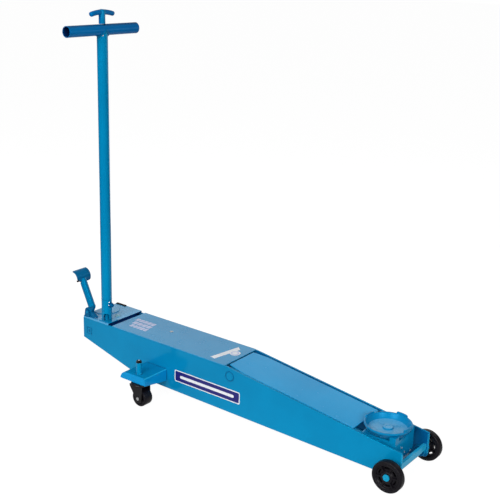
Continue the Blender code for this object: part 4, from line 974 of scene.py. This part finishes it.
def bent_bar(path, radii, side, base_z):
    """A round arm along Y that droops towards a rounded end; (reach, drop) pairs with radii."""
    made = bmesh.new()
    steps = list(zip(path, radii))
    (reach, drop), last = steps[-1]
    for turn in (25, 50, 72):
        t = math.radians(turn)
        steps.append(((reach + 0.8 * last * math.sin(t) * 0.55, drop - 0.3 * last * math.sin(t) * 0.55),
            last * math.cos(t)))
    rings = []
    for i, ((reach, drop), radius) in enumerate(steps):
        ahead, behind = steps[min(i + 1, len(steps) - 1)][0], steps[max(i - 1, 0)][0]
        slope = math.atan2(ahead[1] - behind[1], ahead[0] - behind[0])
        ring = []
        for k in range(40):
            a = math.tau * k / 40
            ring.append(made.verts.new((HANDLE_X + radius * math.cos(a),
                HANDLE_Y + side * (reach - radius * math.sin(a) * math.sin(slope)),
                base_z + drop + radius * math.sin(a) * math.cos(slope))))
        rings.append(ring)
    return shell_faces(made, rings)


# ---- pedal
def pedal():
    """The foot pedal: hinge pin, lever with its neck and finger, and the curved pad."""
    place("pedal_hinge_pin", across(PEDAL_X, PEDAL_Z, -0.0893, -0.059, HINGE_R, 40, 0.0007), BLUE,
        "pedal_pin", slot="bright_steel")
    finger = [(PEDAL_X, PEDAL_Z - 0.0155), (0.06, 0.2085), (0.06, 0.2125), (PEDAL_X + 0.006, 0.234)]
    neck = [(PEDAL_X - 0.01, 0.232), (0.0205, 0.245), (0.044, 0.2545), (0.044, 0.244), (0.033, 0.222)]
    lever = shaped(across(PEDAL_X, PEDAL_Z, -0.0832, -0.0668, 0.0165, 64, 0.001),
        join(rod((0.0324, PEDAL_Y, 0.246), (-0.0155, PEDAL_Y, 0.345), 0.0132, 56)),
        join(slab(neck, -0.082, -0.068)), join(slab(finger, -0.0825, -0.071)),
        cut(across(PAD_X, PAD_Z, PAD_Y0 - 0.01, PAD_Y1 + 0.01, PAD_R + GAP, 96)),
        cut(across(PEDAL_X, PEDAL_Z, -0.09, -0.06, HINGE_R + GAP, 40)))
    # The lever takes a darker copy of the enamel and its lower end a darker one still: painted shade.
    piece = place("foot_lever", lever, PAINTED_SHADE_LEVER, "pedal_lever", 0.0008, 2, 38, body="pedal")
    tint(piece, BLUE_SHADE, lambda c, n: c.z < 0.244)
    shell = arc(PAD_X, PAD_Z, PAD_R, -32, 88, 40) + arc(PAD_X, PAD_Z, PAD_R - PAD_T, 88, -32, 40)
    low_z, trims = PAD_Z - PAD_R, []
    for y0, y1 in ((PAD_Y0, PAD_Y0 + 0.022), (PAD_Y1, PAD_Y1 - 0.008)):
        rise = abs(y1 - y0) * 0.9
        trim = bmesh.new()
        for x in (PAD_X - 0.01, PAD_X + 0.04):
            for y, z in ((y0 * 1.02 - y1 * 0.02, low_z - 0.01), (y1, low_z - 0.01), (y1, PAD_Z - 0.018),
                    (y0 * 1.02 - y1 * 0.02, PAD_Z - 0.018 + rise)):
                trim.verts.new((x, y, z))
        bmesh.ops.convex_hull(trim, input=trim.verts)
        trims.append(cut(trim))
    # The pad takes a darker copy of the enamel: painted shade.
    place("foot_pad", shaped(slab(shell, PAD_Y0, PAD_Y1), *trims), BLUE_SHADE, "pedal_pad", 0.001, 3,
        body="pedal")
    place("pad_bolt", across(-0.008, 0.344, -0.1085, -0.1, 0.0034, 24, 0.0006), BLACK_STEEL, body="pedal")


# ---- plain film panels
def panels():
    """Plain film panels on the sides and the cover, with no lettering."""
    outer = rounded(0.455, 0.742, 0.08, 0.1235, 0.006)
    inner = rounded(0.4585, 0.7385, 0.0835, 0.12, 0.004)
    stripe = rounded(0.48, 0.717, 0.0965, 0.107, 0.005)
    for label, side in SIDES:
        face = side * (HALF_WIDTH + 0.00005)
        out = side * 0.00025
        place(f"panel_edge_{label}", slab(outer, face, face + out), WHITE_FILM)
        place(f"panel_field_{label}", slab(inner, face + out * 0.8, face + out * 1.5), NAVY_FILM)
        place(f"panel_stripe_{label}", slab(stripe, face + out * 1.3, face + out * 2.0), WHITE_FILM)
    top = COVER_TOP + 0.00005
    bars = []
    for row, (y0, x0, x1) in enumerate(((-0.047, 0.192, 0.276), (-0.02, 0.181, 0.27), (0.007, 0.17, 0.264))):
        step = (x1 - x0) / (5 - row % 2)
        bars += [sheet(rounded(x0 + step * i + 0.001, x0 + step * (i + 1) - 0.0015, y0, y0 + 0.0215, 0.002,
            3), top, top + 0.0002) for i in range(5 - row % 2)]
    place("rear_strip", merged(*bars), PALE_FILM)
    band = [(0.594, -0.065), (0.614, -0.068), (0.636, 0.0455), (0.617, 0.062)]
    place("seam_strip", sheet(band, top, top + 0.0002), WHITE_FILM, slot="light_blue_paint")
    low = top + 0.0002
    for name, radius, rise, finish in (("round_mark", 0.019, 0.0002, WHITE_FILM),
            ("round_ring", 0.015, 0.0004, PALE_FILM), ("round_centre", 0.0095, 0.0006, WHITE_FILM)):
        place(name, turned([(0.0, low), (radius, low), (radius, low + rise), (0.0, low + rise)],
            (0.64, 0.012, 0.0), (0, 0, 1), 64), finish, slot="light_blue_paint")


# ---- small fittings and kept CAD nodes
def fittings():
    """The rubber stop, the domed bolt and the CAD nodes that stay."""
    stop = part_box("deck_stop")
    low, high = stop[0] - ORIGIN, stop[1] - ORIGIN
    place("rubber_stop", slab(rounded(low.x, high.x, low.z, high.z, 0.0015, 4), low.y, high.y), BLACK_RUBBER,
        "deck_stop", 0.0006)
    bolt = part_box("deck_bolt")
    low, high = bolt[0] - ORIGIN, bolt[1] - ORIGIN
    radius, rise = (high.x - low.x) / 2, high.z - low.z
    dome = [(0.0, 0.0), (radius, 0.0), (radius, 0.0008)]
    dome += [(radius * math.cos(a), 0.0008 + (rise - 0.0008) * math.sin(a))
        for a in (math.radians(k) for k in range(12, 84, 12))] + [(0.0, rise)]
    place("deck_dome_bolt", turned(dome, ((low.x + high.x) / 2, (low.y + high.y) / 2, low.z), (0, 0, 1), 48),
        BOLT_PALE, "deck_bolt")
    # The pump block and oil reservoir take a near-black copy of the enamel: painted shade in the gaps they
    # show through.
    for finish, *nodes in ((ZINC, ("level_pin_right", 0.0005), ("level_pin_left", 0.0005),
            ("level_cross_pin", 0.0005), ("ram_lever_pin", 0.0006)), (BLUE, ("level_link_right", 0.0006),
            ("level_link_left", 0.0006), ("arm_rocker", 0.0008)), (PAINTED_SHADE_DEEP, ("pump_block", 0.0015),
            ("oil_reservoir", 0.0015)), (DARK_IRON, ("ram_cylinder", 0.0012), ("ram_crosshead", 0.0012)),
            (CHROME, ("ram_rod", 0.0008), ("pump_plunger", 0.0004), ("pedal_plunger", 0.0004)),
            (BLACK_STEEL, ("ram_gland", 0.001))):
        for node, bevel in nodes:
            dress(node, finish, bevel)


# ---- studio
def direction(azimuth, elevation):
    """Unit vector from the object towards a viewer; azimuth 0 looks along +Y."""
    a, e = math.radians(azimuth), math.radians(elevation)
    return Vector((math.sin(a) * math.cos(e), -math.cos(a) * math.cos(e), math.sin(e)))


def stage_sheet(name, corners, finish):
    """A four-cornered sheet that belongs to the studio."""
    mesh = bpy.data.meshes.new(name)
    mesh.from_pydata(corners, [], [(0, 1, 2, 3)])
    mesh.materials.append(finish)
    made = added(name, mesh)
    return made


def floor():
    """A white floor: evenly bright to the camera, and a glow fading outwards for all other rays."""
    finish, tree, link, shader, coords = new_material("Floor_Pale")
    shader.inputs["Base Color"].default_value = (0.1, 0.1, 0.1, 1.0)
    shader.inputs["Roughness"].default_value = 0.9
    shader.inputs["Specular IOR Level"].default_value = 0.0
    shader.inputs["Emission Color"].default_value = (1.0, 1.0, 1.0, 1.0)
    shader.inputs["Emission Strength"].default_value = 0.965
    glow = tree.nodes.new("ShaderNodeEmission")
    reach = tree.nodes.new("ShaderNodeVectorMath")
    reach.operation = 'LENGTH'
    link(coords, reach.inputs[0])
    link(spread(tree, reach.outputs["Value"], 0.9, 2.3, 0.52, 0.03), glow.inputs["Strength"])
    path = tree.nodes.new("ShaderNodeLightPath")
    choose = tree.nodes.new("ShaderNodeMixShader")
    link(path.outputs["Is Camera Ray"], choose.inputs["Fac"])
    link(glow.outputs["Emission"], choose.inputs[1])
    link(shader.outputs["BSDF"], choose.inputs[2])
    link(choose.outputs["Shader"], tree.nodes["Material Output"].inputs["Surface"])
    size = 30.0
    stage_sheet("Floor", [(-size, -size, 0), (size, -size, 0), (size, size, 0), (-size, size, 0)], finish)


def glow_cards():
    """Upright bright cards round the object, unseen by the camera: what the gloss reflects."""
    finish = bpy.data.materials.new("Backdrop_Glow")
    finish.use_nodes = True
    tree = finish.node_tree
    lit = tree.nodes.new("ShaderNodeEmission")
    lit.inputs["Strength"].default_value = 1.0
    tree.links.new(lit.outputs["Emission"], tree.nodes["Material Output"].inputs["Surface"])
    for name, azimuth, distance, width, low, high in (("Backdrop", 216.0, 2.1, 4.6, 0.05, 1.75),
            ("Card", 150.0, 1.9, 0.8, 0.75, 1.6)):
        middle, half = direction(azimuth, 0.0) * distance, direction(azimuth + 90.0, 0.0) * width / 2
        corners = [middle + end * half + Vector((0, 0, z)) for end, z in ((-1, low), (1, low), (1, high),
            (-1, high))]
        panel = stage_sheet(name, corners, finish)
        panel.visible_camera = False
        panel.visible_shadow = False


def surroundings():
    """A white world, dimmer for the rays that light the object than for the camera."""
    world = bpy.data.worlds.new("Studio")
    bpy.context.scene.world = world
    world.use_nodes = True
    tree = world.node_tree
    back = tree.nodes["Background"]
    path = tree.nodes.new("ShaderNodeLightPath")
    tree.links.new(spread(tree, path.outputs["Is Camera Ray"], 0.0, 1.0, 0.2, 1.0), back.inputs["Strength"])
    back.inputs["Color"].default_value = (1.0, 1.0, 1.0, 1.0)


def lamps():
    """Square soft lights aimed at the jack's lower half."""
    aim = Vector((0.0, 0.0, 0.25))
    for name, azimuth, elevation, distance, size, power in (("Key", 4.0, 28.0, 4.2, 2.4, 132.0),
            ("Fill", 66.0, 24.0, 5.0, 2.0, 92.0), ("Top", 300.0, 52.0, 4.0, 1.2, 14.0)):
        light = bpy.data.lights.new(name, 'AREA')
        light.shape, light.size, light.energy = 'SQUARE', size, power
        lamp = added(name, light)
        back = direction(azimuth, elevation)
        lamp.location = aim + back * distance
        lamp.rotation_euler = back.to_track_quat('Z', 'Y').to_euler()
        lamp.visible_camera = False


def camera():
    """The view: its angles in degrees, its distance, and the point that it looks at."""
    azimuth, elevation, distance, roll = 36.627, 17.454, 3.1118, 1.768
    target = Vector((0.6992, 0.0, 0.5911)) + ORIGIN
    data = bpy.data.cameras.new("Camera")
    data.sensor_width, data.lens = 36.0, 68.5656
    data.clip_end = 100.0
    eye = added("Camera", data)
    back, right = direction(azimuth, elevation), direction(azimuth + 90.0, 0.0)
    turn = Matrix((right, back.cross(right), back)).transposed().to_4x4()
    spot = Matrix.Translation(target + back * distance)
    eye.matrix_world = spot @ turn @ Matrix.Rotation(math.radians(roll), 4, 'Z')
    bpy.context.scene.camera = eye
    bpy.context.scene.view_settings.view_transform = 'Standard'


side_walls()
cross_plates()
top_cover()
deck()
front_wheels()
for side_name, side_sign in SIDES:
    bracket(side_name, side_sign)
    caster(side_name, side_sign)
lift_arm()
saddle_carrier()
saddle()
handle()
release()
pedal()
panels()
fittings()
floor()
glow_cards()
surroundings()
lamps()
camera()
